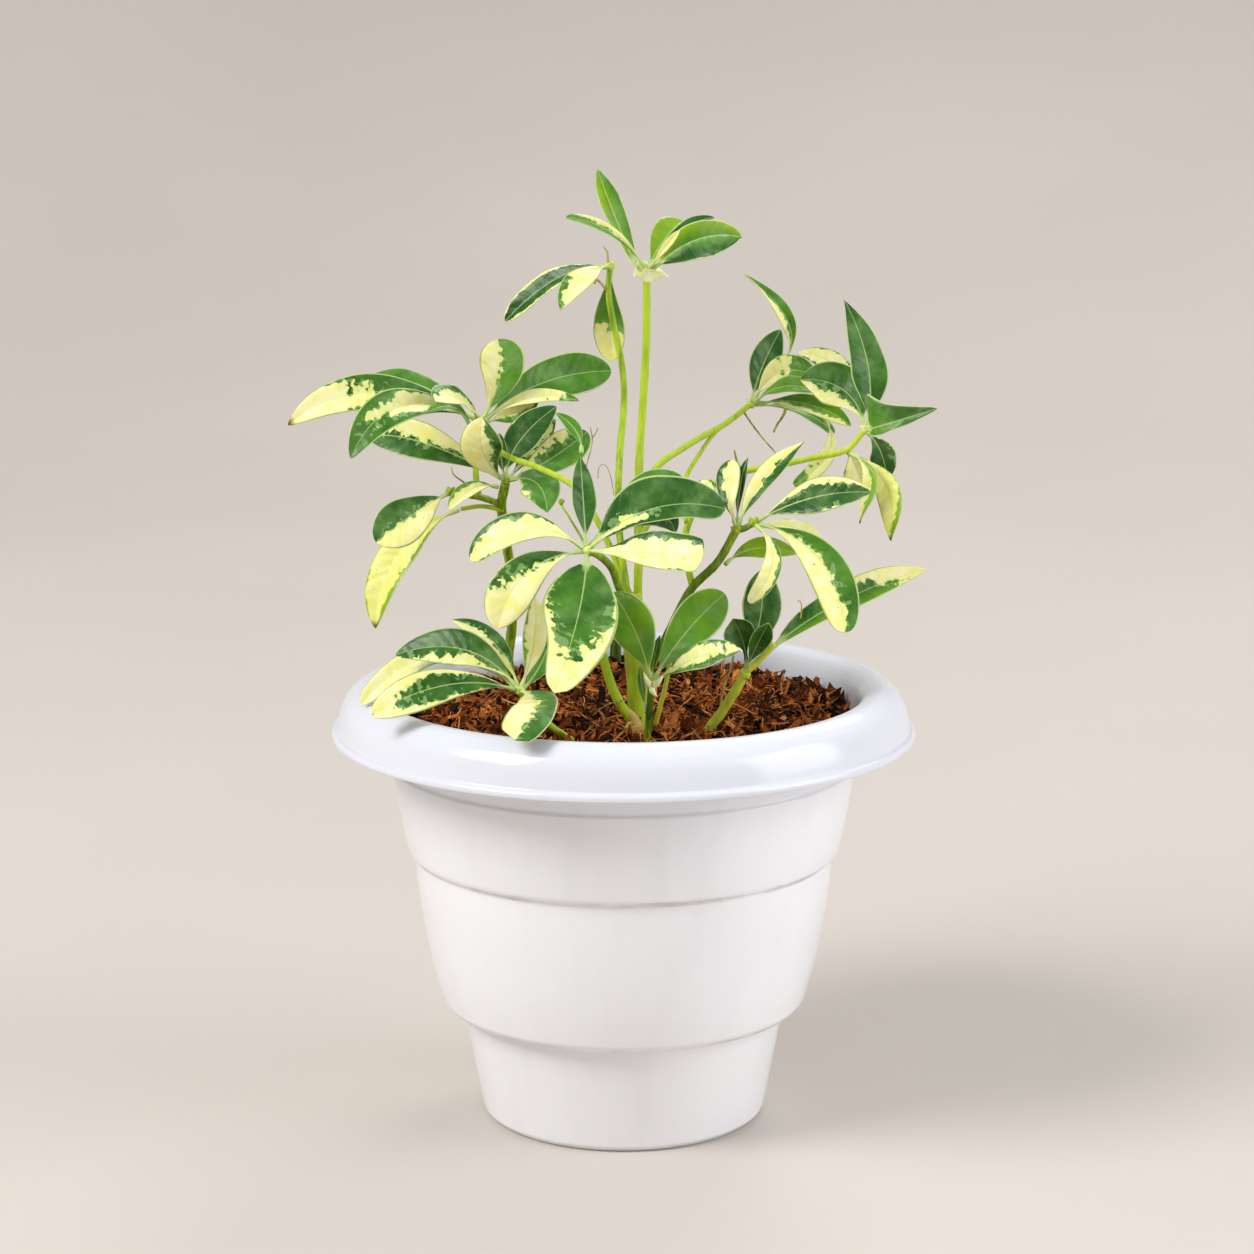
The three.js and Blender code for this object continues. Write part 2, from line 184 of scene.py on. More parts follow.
for lamp_name, place, size, power, colour in LAMPS:
    lamp_data = bpy.data.lights.new(lamp_name, "AREA")
    lamp_data.size = size
    lamp_data.energy = power
    lamp_data.color = colour
    lamp = bpy.data.objects.new(lamp_name, lamp_data)
    lamp.location = place
    lamp.rotation_euler = (Vector(LAMP_AIM) - Vector(place)).to_track_quat("-Z", "Y").to_euler()
    bpy.context.scene.collection.objects.link(lamp)

sky = bpy.data.worlds.new("sky")
sky.use_nodes = True
background = sky.node_tree.nodes["Background"]
background.inputs["Color"].default_value = SKY_COLOUR
background.inputs["Strength"].default_value = SKY_STRENGTH
bpy.context.scene.world = sky


# Pot. One thin shell of glossy white polypropylene, injection moulded: a narrow foot, two steps where pots
# stack in each other, and a broad rolled rim that is hollow underneath. The floor has six drain holes.
MM = 0.001
WALL = 2
POT_TURNS = 180
CORNER_R = 0.7
GENTLE_TURN = 0.2
GENTLE_CORNER = 12
MOST_OF_EDGE = 0.48
INNER_LIFT = 0.7 * WALL
STEPPED_HEIGHT = 100
FLOOR_R = 49
FLOOR_TOP_Z = 2.5
DRAIN_HOLES = 6
DRAIN_HOLE_R = 4
DRAIN_CIRCLE_R = 36
DRILL_TURNS = 32
DRILL_PROFILE = [(0.0001, -4), (DRAIN_HOLE_R, -4), (DRAIN_HOLE_R, 8), (0.0001, 8)]
POT_WHITE = (0.83, 0.845, 0.90, 1)
POT_WARM = (0.81, 0.82, 0.86, 1)
POT_RIM_PAINTED_TONE = (0.68, 0.71, 0.79, 1)
POT_FLOW = (0.74, 0.75, 0.80, 1)
POT_STEP_SHADE = (0.40, 0.32, 0.27, 1)
RIM_TONE_FROM_Z = 138.5
RIM_TONE_FULL_Z = 141
FLOW_SHARE = 0.35
STEP_SHADE_SHARE = 0.55
SMOOTH_ROUGHNESS = 0.1
SCUFFED_ROUGHNESS = 0.24

# Where the painted shade lies: the height of each step, and how far above and below it.
SHADED_STEPS = ((41.0, 1.6), (97.6, 1.2))

# The pot's outline as (radius, height): foot, outer wall, the rim's hollow underside, the rim's outside.
FOOT = [(0, 0), (FLOOR_R, 0)]
OUTER_WALL = [
    (51, 2), (58.4, 40.6), (63.5, 41.2), (65.6, 43.6), (69, 55), (71.9, 70), (74.2, 85), (75, 97.3),
    (76.7, 98), (77.5, 99.6), (79, 106), (81.2, 118.6), (82.8, 128.8), (82.9, 129.9), (82.1, 130.9),
    (84.2, 140), (85.7, 150),
]
RIM_UNDERSIDE = [
    (88, 154), (91.5, 155.7), (94.5, 155.8), (97, 153.8), (98.6, 149), (100.3, 144), (102, 140.5),
]
RIM_OUTSIDE = [
    (104, 140.5), (104, 142.3), (103.3, 143.2), (102.1, 143.4), (101.9, 144.6), (101.5, 147), (100.8, 149.8),
    (99.8, 152.2), (98.4, 154.3), (96.5, 156), (94.3, 157.3), (92, 158), (89.8, 157.9), (87.8, 157.3),
    (86.1, 156.1), (84.9, 154.3), (84.2, 152), (83.8, 150),
]


def rounded(profile, corner):
    """The same profile with a short curve at each corner, and a long one where it hardly turns."""
    made = [profile[0]]
    for before, here, after in zip(profile, profile[1:], profile[2:]):
        here = Vector(here)
        towards_before = Vector(before) - here
        towards_after = Vector(after) - here
        reach = corner
        if (-towards_before).angle(towards_after) < GENTLE_TURN:
            reach = corner * GENTLE_CORNER
        first = here + towards_before * min(MOST_OF_EDGE, reach / towards_before.length)
        last = here + towards_after * min(MOST_OF_EDGE, reach / towards_after.length)
        for share in (0, 0.25, 0.5, 0.75, 1):
            made.append(tuple(first.lerp(here, share).lerp(here.lerp(last, share), share)))
    return made + [profile[-1]]


def joined(shapes):
    """The points and faces of several shapes as those of one."""
    points = []
    faces = []
    for more_points, more_faces in shapes:
        faces += [tuple(index + len(points) for index in face) for face in more_faces]
        points += more_points
    return points, faces


def stretched(place, scale):
    """A place whose patterns are drawn out along each axis that has a small scale."""
    return add_node(place.id_data, "ShaderNodeMapping", {"Vector": place, "Scale": scale}).outputs[0]


inner_wall = []
for r, z in reversed(OUTER_WALL[1:-1]):
    inner_wall.append((r - WALL, z + (INNER_LIFT if z < STEPPED_HEIGHT else 0)))
floor_top = [(FLOOR_R, FLOOR_TOP_Z), (0, FLOOR_TOP_Z)]
pot_profile = rounded(FOOT + OUTER_WALL + RIM_UNDERSIDE + RIM_OUTSIDE + inner_wall + floor_top, CORNER_R)
pot_profile = [(r * MM, z * MM) for r, z in pot_profile[1:-1]]
pot_points, pot_faces = turned(pot_profile, POT_TURNS)
rows = len(pot_profile)
pot_faces.append(tuple(i * rows for i in reversed(range(POT_TURNS))))
pot_faces.append(tuple(i * rows + rows - 1 for i in range(POT_TURNS)))
pot = mesh_piece("planter", pot_points, pot_faces)

drill_points, drill_faces = turned([(r * MM, z * MM) for r, z in DRILL_PROFILE], DRILL_TURNS)
drills = []
for i in range(DRAIN_HOLES):
    turn = (i + 0.5) / DRAIN_HOLES * math.tau
    middle = Vector((DRAIN_CIRCLE_R * math.cos(turn), DRAIN_CIRCLE_R * math.sin(turn), 0)) * MM
    drills.append(([middle + Vector(point) for point in drill_points], drill_faces))
drill = mesh_piece("drill", *joined(drills))
cut = pot.modifiers.new("drain_holes", "BOOLEAN")
cut.operation = "DIFFERENCE"
cut.solver = "EXACT"
cut.object = drill
with_holes = bpy.data.meshes.new_from_object(pot.evaluated_get(bpy.context.evaluated_depsgraph_get()))
pot.modifiers.remove(cut)
pot.data = with_holes
bpy.data.objects.remove(drill)

# White, a little warmer in clouds and greyer in upright streaks and on the rim, with painted shade in both
# steps.
material, tree, shader = new_material("pot_plastic")
place = real_place(tree)
height = add_node(tree, "ShaderNodeSeparateXYZ", {0: place}).outputs[2]
white = blend_colours(fade(mottle(place, 14, 4), 0.3, 0.7), POT_WHITE, POT_WARM)
flow = mottle(stretched(place, (1, 1, 0.08)), 70)
white = blend_colours(fade(flow, 0.45, 0.75, FLOW_SHARE), white, POT_FLOW)
# Painted light: the rim is a darker, bluer white than the body, for the stronger light on its top and the sky
# reflected in it.
on_rim = fade(height, RIM_TONE_FROM_Z * MM, RIM_TONE_FULL_Z * MM)
white = blend_colours(on_rim, white, POT_RIM_PAINTED_TONE)
# Painted shade: a patchy darker tan line in each step, where the step shades the wall.
in_steps = [calculate("COMPARE", height, z * MM, reach * MM) for z, reach in SHADED_STEPS]
patchy_step_shade = fade(mottle(place, 60, 4), 0.35, 0.75, STEP_SHADE_SHARE)
painted_step_shade = calculate("MULTIPLY", calculate("MAXIMUM", *in_steps), patchy_step_shade)
scuffs = {"Value": mottle(place, 90, 5), "To Min": SMOOTH_ROUGHNESS, "To Max": SCUFFED_ROUGHNESS}
set_shader(shader, {
    "Base Color": blend_colours(painted_step_shade, white, POT_STEP_SHADE),
    "Roughness": add_node(tree, "ShaderNodeMapRange", scuffs).outputs["Result"],
    "Normal": bumps(mottle(place, 45), 0.0003, 0.2),
    "Subsurface Weight": 0.08,
    "Subsurface Scale": 0.003,
    "IOR": 1.49,
})
pot.data.materials.clear()
pot.data.materials.append(material)
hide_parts("pot")
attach(pot, "root")


# Potting mix. Chopped coconut husk: a dark, crumbly heap, with chips and stringy fibres lying all over it.
# It was poured in by hand and pressed down a little: lumpy, and banked up towards the back on the right.
MIX_R = 82.4
MIX_EDGE_Z = 143.2
MIX_CROWN = 2.6
MIX_LUMP = 2.0
MIX_LUMP_SIZE = 11
MIX_BANK = 4.2
MIX_BANK_WAY = (0.55, 0.83)
MIX_BANK_START = 0.1
MIX_SIDE = [(80.6, 129.5), (77.5, 110), (75.3, 99), (72.6, 97), (71, 80), (68.5, 65), (65, 52), (61, 43.4),
            (56, 41), (49.8, 6), (48.4, 2.9)]
MIX_TURNS = 220
MIX_RINGS = 70
MIX_TONE = 0.12
HUSK_BLACK = (0.010, 0.004, 0.002, 1)
HUSK_BROWN = (0.095, 0.024, 0.005, 1)
HUSK_RED = (0.370, 0.100, 0.018, 1)
HUSK_TAN = (0.760, 0.330, 0.095, 1)


def mix_height(x, y):
    """Height of the heap's surface in mm."""
    far = min(1, math.hypot(x, y) / MIX_R)
    lumps = noise.fractal(Vector((x, y, 3)) / MIX_LUMP_SIZE, 1.0, 2.0, 4) * MIX_LUMP
    towards_bank = (MIX_BANK_WAY[0] * x + MIX_BANK_WAY[1] * y) / MIX_R + MIX_BANK_START
    towards_bank = min(1, max(0, towards_bank))
    bank = towards_bank * towards_bank * (3 - 2 * towards_bank) * MIX_BANK
    return MIX_EDGE_Z + MIX_CROWN * (1 - far ** 2) + lumps + bank


def values_on(piece, name, values):
    """Keeps one number per point on the piece's mesh, for its material."""
    layer = piece.data.attributes.new(name, "FLOAT", "POINT")
    layer.data.foreach_set("value", np.asarray(values, dtype=np.float32))


def value_of(tree, name):
    return add_node(tree, "ShaderNodeAttribute", {}, attribute_name=name).outputs["Fac"]


def husk_material(name):
    """Torn husk from black through brown and red to tan, by its tone and a fine grain."""
    material, tree, shader = new_material(name)
    grain = mottle(real_place(tree), 700, 4, 0.7)
    tone = calculate("SUBTRACT", value_of(tree, "husk_tone"), 0.27)
    tone = calculate("MULTIPLY_ADD", grain, 0.55, tone)
    husk = blend_colours(fade(tone, 0.05, 0.4), HUSK_BLACK, HUSK_BROWN)
    husk = blend_colours(fade(tone, 0.3, 0.72), husk, HUSK_RED)
    set_shader(shader, {
        "Base Color": blend_colours(fade(tone, 0.72, 1.0), husk, HUSK_TAN),
        "Roughness": fade(grain, -1.6, 0.9),
        "Normal": bumps(grain, 0.0006, 0.8),
        "Specular IOR Level": 0.15,
    })
    return material


mix_rings = [MIX_R * share for share in np.linspace(0.01, 1, MIX_RINGS)]
mix_points = []
for i in range(MIX_TURNS):
    angle = math.tau * i / MIX_TURNS
    for r in mix_rings:
        x, y = r * math.cos(angle), r * math.sin(angle)
        mix_points.append(Vector((x, y, mix_height(x, y))) * MM)
    for r, z in MIX_SIDE:
        mix_points.append(Vector((r * math.cos(angle), r * math.sin(angle), z)) * MM)
rows = len(mix_rings) + len(MIX_SIDE)
mix_faces = []
for i in range(MIX_TURNS):
    here = i * rows
    after = (i + 1) % MIX_TURNS * rows
    mix_faces += [(here + j, here + j + 1, after + j + 1, after + j) for j in range(rows - 1)]
mix_faces.append(tuple(i * rows for i in range(MIX_TURNS)))
mix_faces.append(tuple(i * rows + rows - 1 for i in reversed(range(MIX_TURNS))))
mix = mesh_piece("mix_heap", mix_points, mix_faces)
values_on(mix, "husk_tone", [MIX_TONE] * len(mix_points))
mix.data.materials.append(husk_material("coir_heap"))
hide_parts("coir")
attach(mix, "root")


# Husk chips. Flat, curled strips torn from coconut husk, dark brown to tan.
# They were chopped with the rest of the mix and lie loose on the heap, most nearly flat, some on edge.
CHIPS = 3600
CHIP_SHORT = (3, 7)
CHIP_LONG = (7, 14)
CHIP_SHORT_SHARE = 0.6
CHIP_MOST_WIDTH = 2.8
CHIP_SLIMNESS = (0.1, 0.34)
CHIP_THICKNESS = (0.25, 0.9)
CHIP_CURL = 1.1
CHIP_FLAT_SHARE = 0.75
CHIP_FLAT_LEAN = 24
CHIP_STEEP_LEAN = 80
CHIP_ROLL = 30
CHIP_MARGIN = 2
CHIP_LIFT = (-0.8, 2.2)
CHIP_TONES = (1.6, 2.0)

# A chip's five sections along its length, and the four corners of each, as shares of its size.
CHIP_SECTIONS = (-0.36, -0.18, 0, 0.18, 0.36)
CHIP_CORNERS = ((-0.5, -0.3), (0.5, -0.5), (0.45, 0.5), (-0.5, 0.35))


def random_place_on_mix(dice, margin):
    far = (MIX_R - margin) * math.sqrt(dice.random())
    angle = dice.uniform(0, math.tau)
    x, y = far * math.cos(angle), far * math.sin(angle)
    return Vector((x, y, mix_height(x, y)))


def keep_inside(point):
    """Moves a point that is outside the heap's edge back to it."""
    far = math.hypot(point.x, point.y)
    if far > MIX_R:
        point.xy = point.xy * (MIX_R / far)
    return point


def chip(dice):
    """A torn strip of husk: a curled bar with five uneven sections and two pointed ends."""
    length = dice.uniform(*CHIP_SHORT) if dice.random() < CHIP_SHORT_SHARE else dice.uniform(*CHIP_LONG)
    width = min(CHIP_MOST_WIDTH, length * dice.uniform(*CHIP_SLIMNESS))
    thick = dice.uniform(*CHIP_THICKNESS)
    curl = dice.gauss(0, CHIP_CURL)
    points = [Vector((-length / 2, 0, 0))]
    for along in CHIP_SECTIONS:
        for across, up in CHIP_CORNERS:
            x = (along + dice.uniform(-0.05, 0.05)) * length
            y = across * width * dice.uniform(0.55, 1.15)
            points.append(Vector((x, y, up * thick)))
    points.append(Vector((length / 2, dice.uniform(-0.3, 0.3) * width, 0)))
    for point in points:
        angle = point.x / length * curl
        bow = point.x * math.sin(angle)
        point.x *= math.cos(angle)
        point.z += bow
    sides = len(CHIP_CORNERS)
    last = 1 + sides * (len(CHIP_SECTIONS) - 1)
    faces = []
    for side in range(sides):
        other = (side + 1) % sides
        faces.append((0, 1 + other, 1 + side))
        for row in range(1, last, sides):
            faces.append((row + side, row + other, row + sides + other, row + sides + side))
        faces.append((last + side, last + other, last + sides))
    return points, faces


dice = random.Random(20)
chip_shapes = []
chip_tones = []
for i in range(CHIPS):
    points, faces = chip(dice)
    is_flat = dice.random() < CHIP_FLAT_SHARE
    lean = dice.gauss(0, CHIP_FLAT_LEAN) if is_flat else dice.uniform(-CHIP_STEEP_LEAN, CHIP_STEEP_LEAN)
    turn = Matrix.Rotation(dice.uniform(0, math.tau), 3, "Z") @ Matrix.Rotation(math.radians(lean), 3, "Y")
    turn = turn @ Matrix.Rotation(math.radians(dice.gauss(0, CHIP_ROLL)), 3, "X")
    middle = random_place_on_mix(dice, CHIP_MARGIN) + Vector((0, 0, dice.uniform(*CHIP_LIFT)))
    chip_shapes.append(([keep_inside(middle + turn @ point) * MM for point in points], faces))
    chip_tones += [dice.betavariate(*CHIP_TONES)] * len(points)
chips = mesh_piece("husk_chips", *joined(chip_shapes), smooth=False)
values_on(chips, "husk_tone", chip_tones)
chips.data.materials.append(husk_material("coir_chips"))
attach(chips, "root")


# Husk fibres. Stray strings of the same husk, less than a millimetre thick.
# They lie loose among the chips, and a few stand up.
FIBRES = 1100
FIBRE_LENGTH = (5, 16)
FIBRE_R = (0.1, 0.3)
FIBRE_END_R_SHARE = 0.4
FIBRE_SIDES = 3
FIBRE_STEPS = 6
FIBRE_CURL = (0.45, 0.45, 0.225)
FIBRE_FLAT_SHARE = 0.9
FIBRE_FLAT_RISE = 0.175
FIBRE_STEEP_RISE = 0.45
FIBRE_MARGIN = 10
FIBRE_LIFT = (0.2, 2.2)
FIBRE_TONE = (0.45, 1.2)
FIBRE_DEPTH = 0.5
FIBRE_TOP_Z = 153


def curved_thread(start, heading, length, dice):
    """The places along a stray fibre that bends a little at every step."""
    places = [start]
    heading = heading.normalized()
    for i in range(FIBRE_STEPS):
        wander = Vector([dice.gauss(0, curl) for curl in FIBRE_CURL])
        heading = (heading + wander).normalized()
        places.append(places[-1] + heading * length / FIBRE_STEPS)
    return places


def tube_faces(rings, sides):
    """Faces of a closed tube whose points lie ring after ring."""
    faces = []
    for i in range(rings - 1):
        for j in range(sides):
            k = (j + 1) % sides
            faces.append((i * sides + j, i * sides + k, (i + 1) * sides + k, (i + 1) * sides + j))
    faces.append(tuple(reversed(range(sides))))
    faces.append(tuple((rings - 1) * sides + j for j in range(sides)))
    return faces


def rod(places, radii, sides, ridged=0, ridges=5):
    """Points and faces of a closed rod along places, all in mm: round, or with soft lengthwise ridges."""
    centres = [Vector(place) for place in places]
    points = []
    side = None
    for i, centre in enumerate(centres):
        along = (centres[min(i + 1, len(centres) - 1)] - centres[max(i - 1, 0)]).normalized()
        if side is None:
            side = along.orthogonal()
        side = (side - along * side.dot(along)).normalized()
        up = along.cross(side)
        for j in range(sides):
            angle = math.tau * j / sides
            reach = radii[i] * (1 + ridged * math.cos(ridges * angle))
            points.append(centre + (side * math.cos(angle) + up * math.sin(angle)) * reach)
    return points, tube_faces(len(centres), sides)


fibre_shapes = []
fibre_tones = []
for i in range(FIBRES):
    start = random_place_on_mix(dice, FIBRE_MARGIN) + Vector((0, 0, dice.uniform(*FIBRE_LIFT)))
    rise = FIBRE_FLAT_RISE if dice.random() < FIBRE_FLAT_SHARE else FIBRE_STEEP_RISE
    heading = Vector((dice.gauss(0, 1), dice.gauss(0, 1), dice.gauss(0, rise)))
    places = curved_thread(start, heading, dice.uniform(*FIBRE_LENGTH), dice)
    thick = dice.uniform(*FIBRE_R)
    points, faces = rod(places, [thick] * FIBRE_STEPS + [thick * FIBRE_END_R_SHARE], FIBRE_SIDES)
    for point in points:
        keep_inside(point)
        point.z = min(FIBRE_TOP_Z, max(point.z, mix_height(point.x, point.y) - FIBRE_DEPTH))
    fibre_shapes.append(([point * MM for point in points], faces))
    fibre_tones += [dice.uniform(*FIBRE_TONE)] * len(points)
fibres = mesh_piece("husk_fibres", *joined(fibre_shapes))
values_on(fibres, "husk_tone", fibre_tones)
fibres.data.materials.append(husk_material("coir_fibres"))
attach(fibres, "root")


# Woody stems. Green young wood with a smooth skin, ringed where old leaves fell off and speckled with pores.
# They were planted in the mix. The trunk forks, and some leaves grow straight from knobs at the twigs' ends.
PLANE_TO_EYE = -EYE.y / MM
ROUTE_STEPS = 9
RING_HEIGHT = 0.09
RING_WIDTH = 0.7
RIDGE_HEIGHT = 0.06
UNEVENNESS = 0.06
UNEVEN_SIZE = 9
KNOB_R = 1.6
KNOB_SIDES = 14
KNOB_RINGS = 9
KNOB_LUMP = 0.12
KNOB_LUMPINESS = 2.2
BUD_SCALES = 6
BUD_SCALE_SIDES = 7
BUD_SCALE_STEPS = (0, 0.35, 0.7, 1)
BUD_SCALE_RADII = (0.5, 0.47, 0.25, 0.05)
BUD_SCALE_FOOT = 0.7
BUD_SCALE_REACH = (1.15, 1.45)
BUD_SCALE_RISE = (0.1, 1.2)
BUD_SCALE_LIFT = 0.4
PLAIN_TONE = 0.6
SKIN_YELLOW = (0.62, 0.66, 0.08, 1)
SKIN_LIME = (0.40, 0.57, 0.016, 1)
SKIN_OLIVE = (0.14, 0.25, 0.010, 1)
SKIN_DARK = (0.035, 0.075, 0.008, 1)
SKIN_BARK = (0.24, 0.15, 0.045, 1)
SKIN_TAN = (0.56, 0.40, 0.12, 1)
SKIN_PORE = (0.55, 0.50, 0.30, 1)
SKIN_PALE = (0.74, 0.78, 0.28, 1)
PORE_SHARE = 0.2

# Where each fan's knob is: x, z, nearer to the eye.
KNOBS = {
    "top": (8, 305, 0),
    "top_left": (-4.5, 306.5, -14),
    "far_left": (-50, 252, -34),
    "left": (-41.5, 231, -22),
    "low_left": (-61, 227, -16),
    "centre": (-13, 206, 45),
    "right_inner": (40, 213.5, 26),
    "right_outer": (46, 216, 26),
    "upper_right": (45, 258.3, -36),
    "far_right": (85, 249, 4),
    "front_left": (-37, 155, 50),
    "front": (10, 157.8, 45),
}


def sighted(x, z, nearer):
    """A place in mm: (x, z) on the upright plane through the pot's axis, brought nearer to the eye."""
    return Vector((x, 0, z)).lerp(EYE / MM, nearer / PLANE_TO_EYE)


def smooth_route(places, steps):
    """A smooth curve through the places, as a list of points with even steps in each stretch."""
    made = []
    last = len(places) - 1
    for i in range(last):
        here = places[i]
        after = places[i + 1]
        before = places[max(i - 1, 0)]
        beyond = places[min(i + 2, last)]
        stretch = (after - here).length
        leave = (after - before) * (stretch / max((after - before).length, 1e-6))
        arrive = (beyond - here) * (stretch / max((beyond - here).length, 1e-6))
        for k in range(steps):
            t = k / steps
            made.append(
                here * (2 * t ** 3 - 3 * t ** 2 + 1) + leave * (t ** 3 - 2 * t ** 2 + t)
                + after * (3 * t ** 2 - 2 * t ** 3) + arrive * (t ** 3 - t ** 2)
            )
    return made + [places[-1]]


def grown_rod(places, thick, dice, ring_gap, taper=0.12, sides=20):
    """A living rod: a little thinner towards its end, uneven, with slightly raised rings."""
    route = smooth_route([sighted(*place) for place in places], ROUTE_STEPS)
    radii = []
    walked = dice.uniform(0, ring_gap)
    for i, point in enumerate(route):
        walked += (point - route[max(i - 1, 0)]).length
        ring = math.exp(-(((walked % ring_gap) - ring_gap / 2) / RING_WIDTH) ** 2) * RING_HEIGHT
        uneven = noise.noise(point / UNEVEN_SIZE + Vector((0, 7, 1))) * UNEVENNESS
        radii.append(thick * (1 + taper * (0.5 - i / len(route)) + ring + uneven))
    return rod(route, radii, sides, RIDGE_HEIGHT)


def knob(place, dice, thick=KNOB_R):
    """A swollen end with small pointed bud scales round it."""
    middle = sighted(*place)
    points = []
    for i in range(KNOB_RINGS + 1):
        slope = math.pi * i / KNOB_RINGS
        reach = math.sin(slope)
        for j in range(KNOB_SIDES):
            angle = math.tau * j / KNOB_SIDES
            out = Vector((reach * math.cos(angle), reach * math.sin(angle), math.cos(slope)))
            lump = 1 + KNOB_LUMP * noise.noise(out * KNOB_LUMPINESS + middle)
            points.append(middle + out * thick * lump)
    faces = []
    for i in range(KNOB_RINGS):
        here = i * KNOB_SIDES
        below = (i + 1) * KNOB_SIDES
        for j in range(KNOB_SIDES):
            k = (j + 1) % KNOB_SIDES
            faces.append((here + j, below + j, below + k, here + k))
    shapes = [(points, faces)]
    for i in range(BUD_SCALES):
        angle = math.tau * (i + dice.random()) / BUD_SCALES
        out = Vector((math.cos(angle), math.sin(angle), dice.uniform(*BUD_SCALE_RISE))).normalized()
        foot = middle + out * thick * BUD_SCALE_FOOT
        end = middle + out * thick * dice.uniform(*BUD_SCALE_REACH) + Vector((0, 0, BUD_SCALE_LIFT))
        scale = [foot.lerp(end, share) for share in BUD_SCALE_STEPS]
        shapes.append(rod(scale, [thick * share for share in BUD_SCALE_RADII], BUD_SCALE_SIDES))
    return joined(shapes)


def grown_piece(name, shapes, node, material, tones=()):
    """One piece of several shapes, each with its tone: 0 dark, 0.5 green, 1 lime, 1.5 yellow."""
    points, faces = joined(shapes)
    piece = mesh_piece(name, [point * MM for point in points], faces)
    tones = tones or [PLAIN_TONE] * len(shapes)
    values_on(piece, "skin_tone", [tone for shape, tone in zip(shapes, tones) for point in shape[0]])
    piece.data.materials.append(material)
    if node:
        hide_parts(node)
    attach(piece, "root")
    return piece


def varied(value, texture, amount):
    """The value, raised where the texture is over a half and lowered where it is under."""
    return calculate("MULTIPLY_ADD", calculate("SUBTRACT", texture, 0.5), amount, value)


def skin_material(name, bark_colour, bark_share):
    """Smooth green skin with fine lengthwise streaks, pale pores and patches of bark."""
    material, tree, shader = new_material(name)
    place = real_place(tree)
    streaks_and_shine = mottle(stretched(place, (1, 1, 0.07)), 560)
    tone = varied(value_of(tree, "skin_tone"), mottle(place, 34, 3, 0.5), 1.1)
    # The streaks are partly the skin's own fine lines and partly painted highlight and shade: light and dark
    # stripes along the stems.
    tone = varied(tone, streaks_and_shine, 1.2)
    green = blend_colours(fade(tone, 0.0, 0.5), SKIN_DARK, SKIN_OLIVE)
    green = blend_colours(fade(tone, 0.4, 1.0), green, SKIN_LIME)
    green = blend_colours(fade(tone, 1.0, 1.6), green, SKIN_YELLOW)
    bark_from = 0.66 - 0.3 * bark_share
    bark_full = 0.8 - 0.3 * bark_share
    barky = fade(mottle(place, 90, 5, 0.6), bark_from, bark_full, bark_share)
    green = blend_colours(barky, green, bark_colour)
    pores = add_node(tree, "ShaderNodeTexVoronoi", {"Vector": place, "Scale": 520}).outputs["Distance"]
    set_shader(shader, {
        "Base Color": blend_colours(fade(pores, 0.22, 0.1, PORE_SHARE), green, SKIN_PORE),
        "Roughness": fade(streaks_and_shine, -0.6, 2.0),
        "Normal": bumps(streaks_and_shine, 0.0004, 0.5),
        "Specular IOR Level": 0.28,
        "Subsurface Weight": 0.06,
        "Subsurface Scale": 0.002,
    })
    return material


# Each rod: radius, gap between rings, tone of its skin, places.
STEM_RODS = {
    "trunk": [
        (4, 16, 1.15, [
            (6.3, 127, 26), (6.2, 139, 26), (5.6, 155, 25), (4.4, 172, 25), (3, 187, 25), (2.6, 190.5, 25),
        ]),
        (1.6, 8, 1.05, [
            (3.8, 143.5, 29), (0.4, 148, 31), (-3.4, 155, 32), (-6, 163, 33), (-7.6, 170, 33),
            (-8.2, 178, 33),
        ]),
        (1.5, 7, 0.5, [
            (5.5, 157, 25), (10.5, 165.5, 24), (15, 174, 22), (24, 192, 22), (33.5, 202, 24),
            (40, 213.5, 26),
        ]),
        (1.1, 5, 0.5, [(40, 213.5, 26), (43, 214.2, 26), (46, 216, 26)]),
    ],
    "stem_left": [
        (1.8, 9, 0.65, [
            (-42.2, 143, -54), (-42, 157, -54), (-41, 168, -51), (-39.5, 180, -47), (-39.5, 195, -40),
            (-41.5, 210, -32), (-43, 222.5, -25), (-41.6, 230, -22),
        ]),
        (1.2, 6, 0.75, [(-43, 222.5, -25), (-50, 225, -21), (-60, 226.8, -16)]),
        (0.8, 6, 1.2, [(-42.5, 220.5, -25), (-50, 221.9, -22), (-57.4, 220.9, -20)]),
    ],
    "stem_right": [
        (1.7, 11, 1.35, [
            (30, 130, 26), (30, 139.5, 26), (35.2, 147.5, 27), (39.8, 155, 29), (43.5, 161.8, 30.5),
        ]),
        (1.15, 9, 1.4, [(43.5, 161.8, 30.5), (47.5, 165.6, 31), (51, 169.2, 31.5), (53.4, 172.4, 32)]),
        (2.1, 50, 1.1, [(43, 160.9, 30.3), (43.7, 162.1, 30.6)]),
    ],
}
STEM_KNOBS = {
    "trunk": ["right_inner", "right_outer"],
    "stem_left": ["left", "low_left"],
    "stem_right": [],
}

# The trunk's swollen foot and the root beside it. Each: radius, how much thinner its end is, places.
FOOT_RODS = [
    (2.2, 0.9, [(4.6, 138, 29), (4.4, 142, 29.5), (3.6, 145, 30), (1.2, 148, 31)]),
    (0.9, -0.3, [(-0.6, 137, 31), (0.6, 140.5, 31), (3, 144, 30.5)]),
]
FOOT_RING_GAP = 9
TWIG_KNOB_TONE = 0.9

